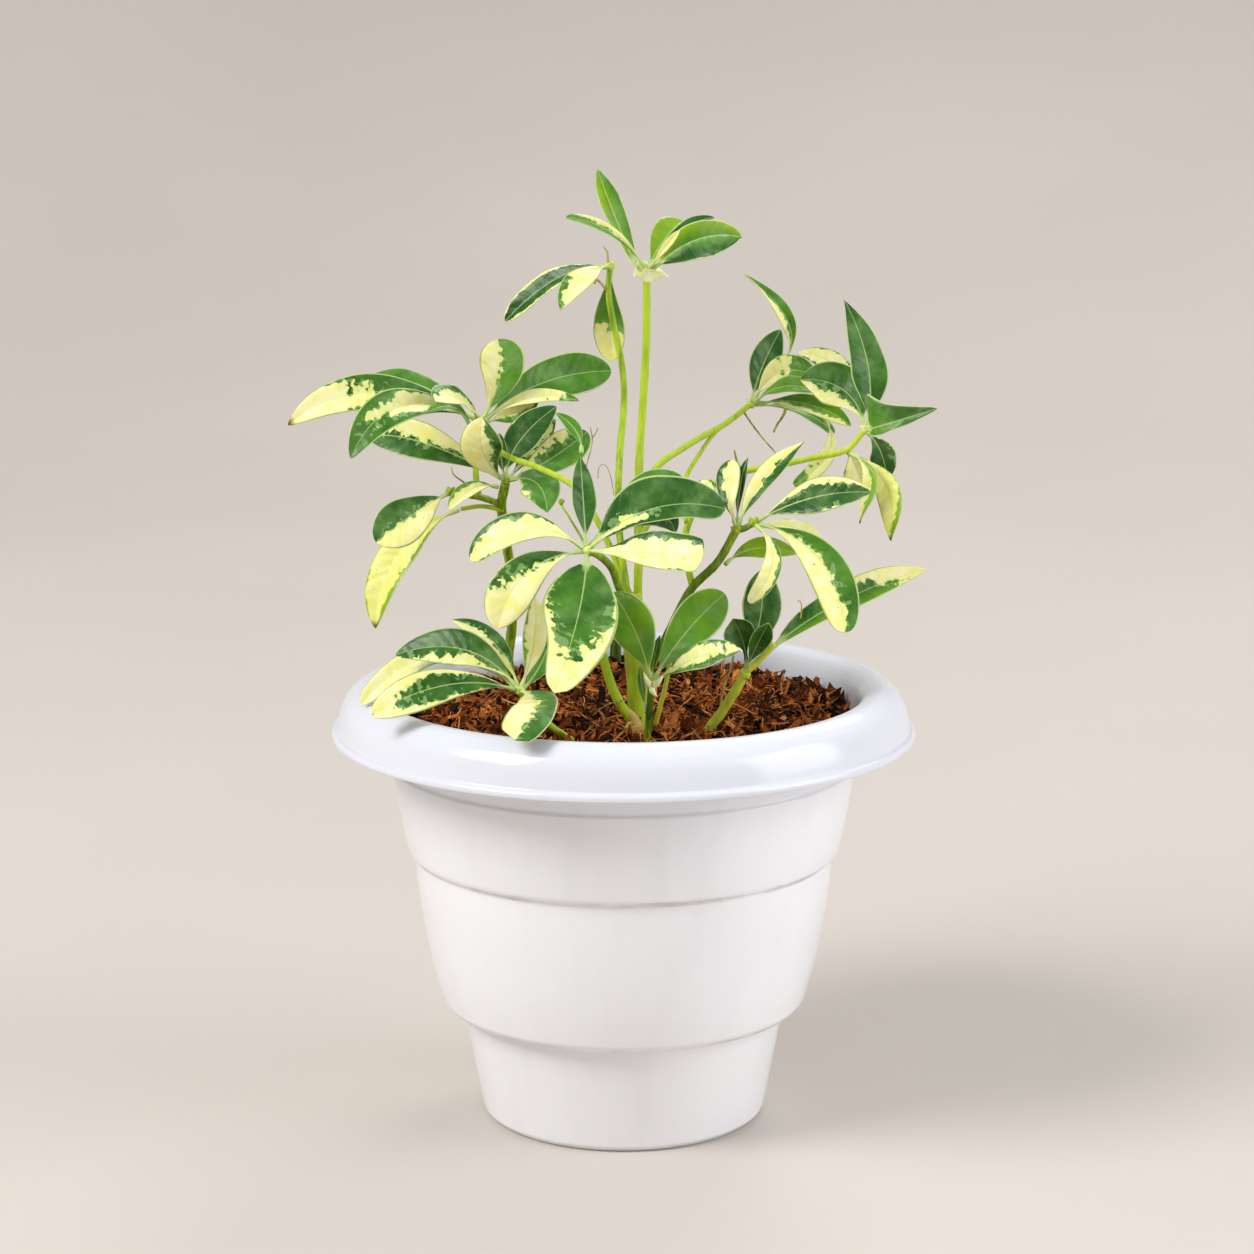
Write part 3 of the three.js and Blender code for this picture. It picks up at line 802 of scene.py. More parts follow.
trunk_skin = skin_material("trunk_skin", SKIN_BARK, 0.35)
dice = random.Random(4)
for node, rods in STEM_RODS.items():
    shapes = [grown_rod(places, thick, dice, ring_gap) for thick, ring_gap, tone, places in rods]
    tones = [tone for thick, ring_gap, tone, places in rods]
    shapes += [knob(KNOBS[name], dice) for name in STEM_KNOBS[node]]
    tones += [TWIG_KNOB_TONE] * len(STEM_KNOBS[node])
    grown_piece("grown_" + node, shapes, node, trunk_skin, tones)
foot_rods = [grown_rod(places, thick, dice, FOOT_RING_GAP, taper) for thick, taper, places in FOOT_RODS]
foot_skin = skin_material("foot_skin", SKIN_TAN, 1.0)
grown_piece("trunk_foot", foot_rods, None, foot_skin)


# Leaf stalks. Each palmate leaf hangs on one long, smooth, yellow-green stalk, whose end is a pale knob.
# It grew out of the trunk's top, of another stalk or of the mix.
STALK_RING_GAP = 40
STALK_TAPER = 0.2
FRONT_KNOB_R = 1.2

# Each stalk: radius, tone of its skin, places.
STALKS = {
    "top": (1.4, 0.85, [
        (5.2, 187, 25), (5.2, 194, 24.4), (5.4, 205, 22), (5.2, 220, 14), (5.7, 240, 7), (7, 260, 3),
        (8, 280, 1), (8.2, 303, 0),
    ]),
    "top_left": (1.15, 0.75, [
        (1.2, 187, 25), (0.9, 194, 24), (-0.7, 205, 20), (-1.8, 222, 8), (-1.3, 240, -2), (0.2, 258, -8),
        (-0.2, 270, -10), (-2.2, 281, -12), (-4.3, 291, -12.5), (-5.2, 299, -13), (-4.6, 305.5, -14),
    ]),
    "centre": (1.3, 0.6, [
        (2.4, 186.6, 28), (-1.3, 192.2, 30), (-4, 199.5, 34.5), (-8.5, 204, 42), (-12.5, 205.8, 45),
    ]),
    "far_left": (1.05, 1.0, [
        (3, 187.4, 22.2), (0.5, 194.5, 20.6), (-5, 208, 16), (-13, 223.5, 8), (-18, 229.5, 4),
        (-30, 235.7, -6), (-42, 240.5, -17), (-48.5, 248, -29), (-50, 251.5, -34),
    ]),
    "upper_right": (1.15, 1.0, [
        (5.6, 211, 18.5), (8.6, 216, 15), (9.3, 224, 8), (10.2, 233, 0), (13.6, 237.6, -5), (20, 242, -12),
        (28, 246.9, -20), (36, 251.4, -28), (44, 257.6, -36),
    ]),
    "far_right": (1.1, 1.15, [
        (24.4, 193, 22), (22.5, 203, 16), (22, 212, 10), (27, 224, 6), (34, 231, 5), (43, 234.4, 6),
        (55, 236.6, 6), (66, 239, 6), (78.5, 242, 5), (84.5, 248.5, 4),
    ]),
    "front_left": (1.1, 1.0, [
        (-15.5, 126, 38), (-17, 135.2, 41), (-20.5, 138.3, 43.5), (-25, 141.5, 46), (-31, 147.5, 48.5),
        (-36.6, 154.4, 50),
    ]),
    "front": (1.25, 0.32, [(8.2, 126, 39), (8.4, 135.7, 39.5), (9.2, 146, 42.5), (10, 157, 45)]),
}

stalk_skin = skin_material("stalk_skin", SKIN_BARK, 0.08)

# The palest skin is at the knobs.
pale_skin, tree, shader = new_material("pale_skin")
pale_tone = fade(mottle(real_place(tree), 300, 3, 0.5), 0.3, 0.7)
set_shader(shader, {
    "Base Color": blend_colours(pale_tone, SKIN_LIME, SKIN_PALE),
    "Roughness": fade(pale_tone, -1.5, 2.0),
    "Normal": bumps(pale_tone, 0.0003, 0.5),
})
dice = random.Random(9)
knobs = []
for fan_name, (thick, tone, places) in STALKS.items():
    stalk = grown_rod(places, thick, dice, STALK_RING_GAP, STALK_TAPER)
    grown_piece(fan_name + "_stalk", [stalk], "stalk_" + fan_name, stalk_skin, [tone])
    knobs.append(knob(KNOBS[fan_name], dice, FRONT_KNOB_R if fan_name == "front" else KNOB_R))
grown_piece("stalk_knobs", knobs, None, pale_skin)


# Leaflets. Thin leathery blades, green with cream where a leaf has no green in it, folded up a little along
# a pale midrib. Each grew from the knob of its fan on a short round stalklet of its own.
STALKLET_R = 0.8
STALKLET_SHARE = 0.14
BLADE_FOOT_SHARE = 0.04
BLADE_START = 1.0
KNOB_CLEARANCE = 2.9
BLADE_THICKNESS = 0.42
LEAST_HALF_WIDTH = 0.12
RIB_DEPTH = 0.45
RIB_REACH = 0.62
RIB_LOSS = 0.7
GROOVE_SHARE = 0.3
FOLD_SOFTNESS = 0.14
OUTLINE_SOFTENING = (1, 2, 3, 4, 3, 2, 1)
TIP_ROUNDING = 0.03
STALKLET_DROP = 0.3
RIB_FROM = 0.6 * STALKLET_SHARE
NEAR_RIB = 0.2
LEAFY_FROM = 0.01
LEAFY_WITHIN = 0.1
HOOK_FROM = 0.75
DRY_FROM = 0.955
DRY_WITHIN = 0.03
TWIST_SPREAD = 8
WAVES = (1.4, 2.6)
WAVE_SHIFT = (1.5, 4.5)
WAVE_HEIGHT = (0.018, 0.036)
RECURVE = (0.05, 0.13)
PATTERN_SPREAD = 900
CLOSER_AT_TIP = 1.7
BLADE_STATIONS = 54
BLADE_COLUMNS = (0, 0.05, 0.12, 0.22, 0.34, 0.48, 0.62, 0.75, 0.86, 0.94, 0.985, 1)

# Where an even blade is widest, as a share of its length, and how pointed its end is.
OUTLINES = {
    "oval": (0.5, 0.75),
    "spoon": (0.64, 0.55),
    "ovate": (0.34, 1),
    "strap": (0.6, 0.36),
    "lance": (0.5, 1),
}

GREEN_DEEP = (0.017, 0.086, 0.010, 1)
GREEN_MID = (0.082, 0.250, 0.016, 1)
GREEN_LIME = (0.235, 0.420, 0.006, 1)
GREY_GREEN_AND_SHEEN = (0.210, 0.370, 0.130, 1)
DRY_TIP = (0.13, 0.085, 0.012, 1)
CREAM = (0.79, 0.78, 0.27, 1)
CREAM_PALE = (0.84, 0.83, 0.45, 1)
CREAM_LIME = (0.62, 0.74, 0.20, 1)
CREAM_YELLOW = (0.68, 0.73, 0.11, 1)
UNDER_SHADE_OLIVE = (0.11, 0.20, 0.030, 1)
RIB_PALE = (0.50, 0.64, 0.24, 1)
EDGE_PALE = (0.62, 0.74, 0.33, 1)

# How the cream lies: start, more towards the right-hand edge, more towards both edges, more towards the tip.
PLAIN = (-2.0, 0, 0, 0)
THIN_MARGIN = (-1.9, 0, 1.9, 0)
ALL_CREAM = (1.3, 0, -1.5, 0)

# The points round a blade's cross-section: from edge to edge on top, then back underneath.
columns = [-share for share in reversed(BLADE_COLUMNS)] + list(BLADE_COLUMNS[1:])
ring_across = np.array(columns + columns[-2:0:-1])
ring_under = np.array([0.0] * len(columns) + [1.0] * (len(columns) - 2))
ring_under[0] = ring_under[len(columns) - 1] = 0.5


def unit(vectors):
    return vectors / np.linalg.norm(vectors, axis=1)[:, None]


def even_outline(share, width, peak, pointed):
    """Half widths of a blade that is widest at its peak, wedge-shaped below it and rounded above."""
    peak = STALKLET_SHARE + (1 - STALKLET_SHARE) * peak
    rising = np.clip((share - BLADE_FOOT_SHARE) / (peak - BLADE_FOOT_SHARE), 0, 1)
    past_peak = np.clip((share - peak) / (1 - peak), 0, 1)
    swell = np.sin(math.pi / 2 * rising) ** 1.2 * (1 - past_peak ** 2) ** pointed
    return np.maximum(width / 2 * swell, LEAST_HALF_WIDTH)[:, None]


def uneven_outline(share, rows, side):
    """Half widths of one side of a blade, from rows of (share, left-hand half, right-hand half)."""
    wanted = np.interp(share, [row[0] for row in rows], [row[side] for row in rows])
    padded = np.pad(wanted, len(OUTLINE_SOFTENING) // 2, mode="edge")
    smooth = np.convolve(padded, OUTLINE_SOFTENING, "valid") / sum(OUTLINE_SOFTENING)
    eased = np.clip((1 - share) / TIP_ROUNDING, 0, 1) ** 0.5
    return (smooth * eased + LEAST_HALF_WIDTH)[:, None]


def blade(name, start, bend, tip, outline, width, facing, roll, fold, twist=0, hook=0):
    """The shape of one leaflet: its points in mm, its faces, and what its material needs to know."""
    dice = random.Random(name)
    start, bend, tip = (np.array(sighted(*place)) for place in (start, bend, tip))
    length = np.linalg.norm(tip - start)

    # The midrib's curve, which starts inside the knob, and how the blade is turned along it.
    control = 2 * bend - start / 2 - tip / 2
    first_pull = 2 * np.linalg.norm(control - start)
    begin = BLADE_START / first_pull
    clear_of_knob = KNOB_CLEARANCE / first_pull
    steps = np.linspace(0, 1, BLADE_STATIONS)
    t = (begin + (1 - begin) * (1 - (1 - steps) ** CLOSER_AT_TIP))[:, None]
    centre = start * (1 - t) ** 2 + control * 2 * t * (1 - t) + tip * t ** 2
    along = unit((control - start) * (1 - t) * 2 + (tip - control) * t * 2)
    look = unit(np.array(EYE) / MM - centre)
    upper = np.array([0, 0, 1]) * (1 - facing) + look * facing
    upper = unit(upper - along * np.sum(upper * along, axis=1)[:, None])
    turn = np.radians(roll + (twist + dice.uniform(-TWIST_SPREAD, TWIST_SPREAD)) * t)
    upper = upper * np.cos(turn) + np.cross(along, upper) * np.sin(turn)
    across = np.cross(along, upper)
    centre = centre - upper * hook * np.clip((t - HOOK_FROM) / (1 - HOOK_FROM), 0, 1) ** 2

    # Its half width, by how far along the leaflet and how far aside of the midrib a point is.
    rise = (t - clear_of_knob) / (1 - clear_of_knob)
    aside = ring_across[None, :]
    far = np.abs(aside)
    if isinstance(outline, str):
        half = even_outline(rise[:, 0], width, *OUTLINES[outline])
    else:
        left, right = (uneven_outline(t[:, 0], outline, side) for side in (1, 2))
        half = np.where(aside > 0, right, left)

    # Its cross-section: folded up along the midrib, with a wavy edge that curls back and a rib underneath.
    top = (1 - 2 * ring_under)[None, :]
    raised = np.sqrt(far ** 2 + FOLD_SOFTNESS ** 2) - FOLD_SOFTNESS
    raised = raised / (math.sqrt(1 + FOLD_SOFTNESS ** 2) - FOLD_SOFTNESS)
    waves = dice.uniform(*WAVES)
    start_of_wave = dice.uniform(0, math.tau)
    wave = np.sin(math.tau * waves * rise + start_of_wave + (aside > 0) * dice.uniform(*WAVE_SHIFT))
    wave = wave * far ** 2.2 * width * dice.uniform(*WAVE_HEIGHT) * np.sin(math.pi * np.clip(rise, 0, 1))
    recurve = far ** 4 * half * dice.uniform(*RECURVE)
    thick = BLADE_THICKNESS / 2 * (1 - far ** 9)
    rib = RIB_DEPTH * np.exp(-(aside * half / RIB_REACH) ** 2) * (1 - RIB_LOSS * np.clip(rise, 0, 1))
    sideways = aside * half * math.cos(math.radians(fold))
    upwards = raised * half * math.sin(math.radians(fold)) + wave - recurve - BLADE_THICKNESS / 2
    upwards = upwards + np.where(top > 0, thick - rib * GROOVE_SHARE, -thick - rib) * (top != 0)

    # Its first part is a round stalklet, which widens softly into the blade.
    leafy = np.clip((rise - LEAFY_FROM) / LEAFY_WITHIN, 0, 1)
    leafy = leafy * leafy * (3 - 2 * leafy)
    round_up = top * np.sqrt(1 - far ** 2) * STALKLET_R - STALKLET_DROP
    sideways = sideways * leafy + aside * STALKLET_R * (1 - leafy)
    upwards = upwards * leafy + round_up * (1 - leafy)
    points = centre[:, None, :] + across[:, None, :] * sideways[..., None]
    points = points + upper[:, None, :] * upwards[..., None]

    facts = {
        "across": aside,
        "along": np.clip(rise, 0, 1),
        "from_rib": np.where(rise < RIB_FROM, 0, far * np.maximum(half, NEAR_RIB)),
        "under": ring_under[None, :],
        "dry": np.clip((rise - DRY_FROM) / DRY_WITHIN, 0, 1) * (hook > 0),
        "leaf_x": aside * half,
        "leaf_y": rise * length,
    }
    facts = {fact: np.broadcast_to(value, points.shape[:2]).ravel() for fact, value in facts.items()}
    facts["leaf_z"] = dice.uniform(0, PATTERN_SPREAD)
    return points.reshape(-1, 3), tube_faces(BLADE_STATIONS, len(ring_across)), facts


def leaflet(name, start, bend, tip, outline, width, turned_by, cream, tint):
    """One leaflet as a piece, with where it is cream and how dark its green is kept on its mesh."""
    points, faces, facts = blade(name, start, bend, tip, outline, width, *turned_by)
    piece = mesh_piece(name, points * MM, faces)
    across, along = facts["across"], facts["along"]
    base, side, edge, end = cream
    values_on(piece, "cream", base + side * across + edge * np.abs(across) ** 3 + end * along ** 2)
    # The side term darkens one half of some leaflets: painted shade from a fold or a shadow across them.
    tint, side_tint_and_shade, tint_end = tint if isinstance(tint, tuple) else (tint, 0, 0)
    values_on(piece, "tint", tint + side_tint_and_shade * across + tint_end * along)
    for fact in ("across", "along", "from_rib", "under", "dry"):
        values_on(piece, fact, facts[fact])
    seed = np.full_like(along, facts["leaf_z"])
    leaf_place = np.stack([facts["leaf_x"] + seed, facts["leaf_y"], seed], axis=1)
    place_layer = piece.data.attributes.new("leaf_place", "FLOAT_VECTOR", "POINT")
    place_layer.data.foreach_set("vector", leaf_place.astype(np.float32).ravel())
    piece.data.materials.append(leaf_skin)
    node = "leaflet_" + name.replace("_leaf_", "_")
    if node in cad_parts:
        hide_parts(node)
    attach(piece, "root")


def fan(fan_name, leaves):
    """A fan's leaflets: bend, tip, outline, width, (facing, roll, fold, twist, hook), cream, tint, start."""
    for i, (bend, tip, outline, width, turned_by, cream, tint, *start) in enumerate(leaves, 1):
        begin = start[0] if start else KNOBS[fan_name]
        leaflet(f"{fan_name}_leaf_{i}", begin, bend, tip, outline, width, turned_by, cream, tint)


leaf_skin, tree, shader = new_material("leaf_skin")
place = add_node(tree, "ShaderNodeAttribute", {}, attribute_name="leaf_place").outputs["Vector"]
along = value_of(tree, "along")
from_rib = value_of(tree, "from_rib")
tint = value_of(tree, "tint")

# Where the cream ends: an uneven, lobed line, with grey-green patches beside it.
GREY_SHARE = 0.8
FLECK_SHARE = 0.7
torn_place = stretched(place, (0.8, 1.05, 1))
field = varied(value_of(tree, "cream"), mottle(place, 0.16, 2, 0.5), 1.9)
field = varied(field, mottle(torn_place, 0.48, 2, 0.4), 1.25)
is_cream = fade(field, -0.03, 0.04)
patch = fade(mottle(torn_place, 0.42, 2, 0.4), 0.5, 0.56, GREY_SHARE)
is_grey = calculate("MULTIPLY", fade(field, -0.45, -0.40), patch)
fleck = fade(mottle(torn_place, 0.6, 2, 0.5), 0.735, 0.75, FLECK_SHARE)

# The green: deep to lime, a little cloudy, paler along the side veins, with pale grey-green clouds of painted
# sheen.
VEIN_SLANT = 0.75
VEIN_WANDER = 8
VEIN_HALF_GAP = 2.3
VEIN_SHARE = 0.05
SHEEN_SHARE = 0.5
cloud = mottle(place, 0.11, 3, 0.5)
tone = varied(tint, cloud, 0.7)
green = blend_colours(fade(tone, 0.0, 0.55), GREEN_DEEP, GREEN_MID)
green = blend_colours(fade(tone, 0.45, 1.1), green, GREEN_LIME)
towards_tip = add_node(tree, "ShaderNodeSeparateXYZ", {0: place}).outputs[1]
vein_way = calculate("MULTIPLY_ADD", from_rib, -VEIN_SLANT, towards_tip)
vein_phase = calculate("PINGPONG", varied(vein_way, cloud, VEIN_WANDER), VEIN_HALF_GAP)
vein = fade(vein_phase, 0.36, 0.0)
green = blend_colours(calculate("MULTIPLY", vein, VEIN_SHARE), green, RIB_PALE)
# Painted sheen: broad pale grey-green clouds for the soft shine on the glossy blades.
painted_sheen = fade(mottle(place, 0.09, 3, 0.6), 0.42, 0.75, SHEEN_SHARE)
green = blend_colours(painted_sheen, green, GREY_GREEN_AND_SHEEN)
green = blend_colours(is_grey, green, GREY_GREEN_AND_SHEEN)

# The cream: cloudy, limier beside the green, yellower on young leaflets, with green flecks.
LIMY_SHARE = 0.55
YELLOW_SHARE = 0.6
cream_cloud = fade(mottle(place, 0.2, 2, 0.5), 0.3, 0.7)
cream = blend_colours(cream_cloud, CREAM, CREAM_PALE)
cream = blend_colours(fade(field, 0.45, 0.05, LIMY_SHARE), cream, CREAM_LIME)
cream = blend_colours(fade(tint, 0.75, 1.15, YELLOW_SHARE), cream, CREAM_YELLOW)
cream = blend_colours(fleck, cream, GREEN_MID)
surface = blend_colours(is_cream, green, cream)

# Midrib, stalklet, edge line and underside. The underside is matt, and its dark olive is painted shade on the
# side that faces down.
RIB_SHARE = 0.6
STALKLET_TONE_SHARE = 0.85
EDGE_SHARE = 0.65
rib_width = calculate("MULTIPLY_ADD", along, -0.34, 0.46)
on_rib = fade(calculate("DIVIDE", from_rib, rib_width), 1.0, 0.45, RIB_SHARE)
on_stalklet = fade(along, STALKLET_SHARE, 0.06, STALKLET_TONE_SHARE)
on_stalklet = calculate("MULTIPLY", on_stalklet, fade(from_rib, 1.6, 0.8))
surface = blend_colours(calculate("MAXIMUM", on_rib, on_stalklet), surface, RIB_PALE)
on_edge = fade(calculate("ABSOLUTE", value_of(tree, "across")), 0.91, 0.955, EDGE_SHARE)
edge_line = blend_colours(is_cream, EDGE_PALE, GREEN_MID)
surface = blend_colours(on_edge, surface, edge_line)
# Painted shade: the underside is darkened to olive, less where it is cream, and it is also made rougher.
dull_and_shaded = calculate("MULTIPLY_ADD", is_cream, -0.4, 0.55)
dull_and_shaded = calculate("MULTIPLY", fade(value_of(tree, "under"), 0.4, 0.9), dull_and_shaded)
dull_and_shaded = calculate("MULTIPLY", dull_and_shaded, fade(along, 0.1, 0.3))
surface = blend_colours(dull_and_shaded, surface, UNDER_SHADE_OLIVE)
surface = blend_colours(value_of(tree, "dry"), surface, DRY_TIP)
polish = calculate("MULTIPLY_ADD", cloud, 0.14, 0.22)
relief = calculate("MULTIPLY_ADD", vein, -0.3, mottle(place, 0.5, 3, 0.5))
relief = calculate("MULTIPLY_ADD", fade(vein_phase, 0.2, 2.3), 0.6, relief)
set_shader(shader, {
    "Base Color": surface,
    "Roughness": calculate("MULTIPLY_ADD", dull_and_shaded, 0.4, polish),
    "Normal": bumps(relief, 0.00025, 0.5),
    "Specular IOR Level": 0.32,
    "Subsurface Weight": 0.12,
    "Subsurface Scale": 0.0012,
    "IOR": 1.42,
})


# Top fan. The newest leaf, at the end of the tallest stalk: bright yellow-green and still partly folded.
# Its leaflets stand up and out from the knob.
FOLDED_OUTLINE = [
    (0, 0.8, 0.8), (0.1, 0.9, 1.1), (0.22, 1.3, 2.6), (0.4, 2.2, 4.2), (0.58, 3.0, 5.2), (0.74, 3.4, 4.9),
    (0.88, 2.6, 3.0), (1, 0.4, 0.4),
]
HUMPED_OUTLINE = [
    (0, 0.8, 0.8), (0.11, 1.0, 1.0), (0.18, 2.4, 3.0), (0.3, 4.8, 5.8), (0.45, 6.2, 7.6), (0.6, 6.0, 8.6),
    (0.75, 5.2, 8.8), (0.87, 3.8, 7.0), (0.95, 2.2, 4.0), (1, 0.4, 0.4),
]
fan("top", [
    # Its tint is lower on its right-hand half: partly its own darker green, partly painted shade inside the
    # fold.
    ((-2.2, 322, -8), (-9, 340, -16), FOLDED_OUTLINE, 12, (0.8, -14, 26), PLAIN, (0.75, -0.5, 0),
     (5.4, 304.4, 1)),
    ((-3.2, 317.8, 6), (-19.7, 323.6, 14), "strap", 5, (0.62, 0, 26), (0.4, 1.3, 0, -2.0), 0.6),
    ((13.6, 315, -12), (20.5, 322.3, -26), "spoon", 12.5, (0.7, 0, 20), (-1.6, 1.3, 0, 0), 0.95),
    # Its right-hand half, the lower one, has a lower tint: painted shadow across it.
    ((24.8, 315.6, 6), (41, 316.7, 12), HUMPED_OUTLINE, 16, (0.8, 0, 22), PLAIN, (0.5, -0.6, 0),
     (9.4, 304.6, 1)),
    ((20, 318.5, -6), (31.5, 323.6, -8), "oval", 7, (0.3, 0, 15), PLAIN, 0.1),
    ((14.6, 313.2, 8), (19.6, 319.2, 11), "lance", 3.4, (0.7, 0, 20), ALL_CREAM, 0.4),
])


# Top bract. A pale, thin, horned cup, which is the sheath that the top leaf came out of.
# It grew at the end of the top stalk, and clasps the knob there.
BRACT_X = 8.2
BRACT_FOOT_Z = 300.8
BRACT_FOOT_R = 1.25
BRACT_WALL = 0.3
BRACT_RIM_STEP = 0.1
BRACT_FLARE = 1.15
BRACT_TURNS = 72
BRACT_ROWS = 9
BRACT_PALE = (0.95, 0.95, 0.56, 1)

# Its rim, by the angle round the stalk: angle, half width, height above its foot.
BRACT_RIM = [
    (0, 6.5, 3.2), (30, 4.2, 5.5), (70, 3.2, 6.6), (130, 3.2, 7.6), (170, 3.4, 8.0), (195, 4.4, 4.2),
    (207, 5.6, 2.2), (222, 4.4, 3.6), (255, 3.6, 5.2), (300, 3.9, 5.0), (330, 5.4, 4.0), (347, 8.4, 1.9),
    (360, 6.5, 3.2),
]

rim_angles, rim_reaches, rim_heights = zip(*BRACT_RIM)
bract_points = []
for layer in (0, 1):
    for j in range(BRACT_TURNS):
        angle = 360 * j / BRACT_TURNS
        reach = np.interp(angle, rim_angles, rim_reaches)
        rim_height = np.interp(angle, rim_angles, rim_heights)
        out = Vector((math.cos(math.radians(angle)), math.sin(math.radians(angle)), 0))
        for row in range(BRACT_ROWS):
            share = row / (BRACT_ROWS - 1)
            r = BRACT_FOOT_R + (reach - BRACT_FOOT_R) * share ** BRACT_FLARE - layer * BRACT_WALL
            z = BRACT_FOOT_Z + rim_height * math.sin(share * math.pi / 2) + layer * BRACT_RIM_STEP
            bract_points.append((Vector((BRACT_X, 0, z)) + out * r) * MM)
inside = BRACT_TURNS * BRACT_ROWS
rim = BRACT_ROWS - 1
bract_faces = []
for j in range(BRACT_TURNS):
    here = j * BRACT_ROWS
    after = (j + 1) % BRACT_TURNS * BRACT_ROWS
    for row in range(rim):
        face = (here + row, after + row, after + row + 1, here + row + 1)
        bract_faces.append(face)
        bract_faces.append(tuple(inside + index for index in reversed(face)))
    bract_faces.append((here + rim, after + rim, inside + after + rim, inside + here + rim))
    bract_faces.append((after, here, inside + here, inside + after))
bract = mesh_piece("top_bract", bract_points, bract_faces)
bract_skin, tree, shader = new_material("bract_skin")
bract_tone = mottle(real_place(tree), 260, 3, 0.5)
set_shader(shader, {
    "Base Color": blend_colours(fade(bract_tone, 0.5, 0.9), BRACT_PALE, CREAM_PALE),
    "Roughness": fade(bract_tone, -1.0, 2.0),
    "Normal": bumps(bract_tone, 0.0005, 0.5),
    "Subsurface Weight": 0.35,
    "Subsurface Scale": 0.002,
})
bract.data.materials.append(bract_skin)
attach(bract, "root")


# Top left fan. An older leaf just behind the top one, with leaflets that hang.
# One is deep green with ragged cream margins, one cream, and one turns pale towards its end.
fan("top_left", [
    ((-22, 303, -20), (-41.3, 287.5, -22), "spoon", 11, (0.45, 0, 20), (-1.3, 0, 2.2, 0.2), 0.1),
    ((-13.5, 303, 0), (-22, 291.7, 14), "oval", 11, (0.45, 0, 20), (1.3, -0.8, 0, -1.6), 0.3),
    ((-4.8, 290.5, -27), (-4, 273.5, -28), "spoon", 12.5, (0.8, 20, 15), (-1.9, 0.3, 0, 4.4), (0.1, 0, 0.9)),
])


# Far left fan. The biggest leaf, at the end of the long arched stalk to the left.
# Its leaflets lie almost flat, and most of them are partly cream.
fan("far_left", [
    ((-86, 262.6, -38), (-118.5, 251.5, -36), "oval", 14.5, (0.7, 0, 16, 0, 3), (-0.9, -0.2, -1.0, 3.4), 0.2),
    ((-78, 257.5, -14), (-96, 239, 2), "oval", 15.5, (0.6, 0, 20), (0.9, 0.2, -1.9, -1.9), 0.25),
    ((-57, 260, -22), (-66, 259.5, -8), "spoon", 13, (0.6, 0, 15), (0.6, -1.0, -0.6, 0), 0.3),
    ((-43.4, 267.5, -37), (-44, 281, -42), "spoon", 17.5, (0.85, 14, 16), (0.0, -1.9, -0.2, -0.1), 0.5),
    ((-29, 265.5, -52), (-4.3, 270, -64), "spoon", 17.5, (0.75, 0, 13), PLAIN, 0.35),
    ((-74, 266, -48), (-92.5, 266, -56), "oval", 14, (0.3, 0, 15), PLAIN, 0.4),
    ((-58, 256.5, -24), (-69, 255.5, -16), "oval", 8, (0.3, 0, 15), PLAIN, 0.6, (-53, 245, -27)),
    ((-40, 254.5, -38), (-30, 259.5, -42), "oval", 9, (0.6, 0, 15), (0.2, -1.2, 0, 0), 0.3),
    ((-33, 260.5, -40), (-15.5, 259.5, -43), "oval", 7, (0.5, 0, 15), (1.2, 0, 0, -1.8), 0.4),
])


# Left fan. Leaflets that grew straight from the knob at the end of the left stem, close below the far left
# fan. They stand up and hang down on all sides of it.
fan("left", [
    ((-49.3, 241, -11), (-49.6, 253.5, -9), "oval", 15.5, (0.9, -12, 10), (0.5, -1.35, -0.5, 0.1), 0.2),
    ((-31, 230.5, -16), (-27, 220, -4), "oval", 15, (0.6, 0, 15), (-0.8, 1.2, 0, -0.6), 0.35),
    ((-37, 244.5, -30), (-23.5, 257.5, -38), "oval", 13, (0.7, 0, 15), THIN_MARGIN, 0.0),
    ((-27, 238, -32), (-12.8, 248.5, -42), "spoon", 15, (0.7, 0, 10), (-0.5, -1.2, 0, -0.4), 0.3),
    ((-70, 244.5, -28), (-90, 246.8, -36), "oval", 15, (0.7, 0, 15), (-0.3, 1.2, 0.9, 0), 0.1),
    ((-43, 239, -20), (-43.5, 248, -23), "oval", 5, (0.6, 0, 15), PLAIN, 0.1),
    ((-32, 242, -38), (-24, 253, -45), "oval", 8, (0.4, 0, 15), (0.2, 0, -1.4, 0), 0.1),
])


# Low left fan. Three leaflets at the end of the left stem's side twig.
# The widest is green above its midrib and cream below it; the long one hangs.
fan("low_left", [
    ((-73, 220, -6), (-87.5, 209, 2), "spoon", 17.5, (0.75, 0, 12), (0.05, -1.7, 0, -0.1), 0.1),
    ((-79, 206, -16), (-89.5, 178.3, -8), "oval", 15.5, (0.85, 12, 12, 20, 2), (1.25, 0.3, -1.7, -0.55), 1.1,
     (-57, 221, -20)),
    ((-52.5, 228.5, -15), (-61.5, 220.5, -10), "spoon", 8, (0.7, -20, 30, 50), (0.7, -0.9, -0.9, 0), 0.6,
     (-43.5, 228.5, -22)),
])


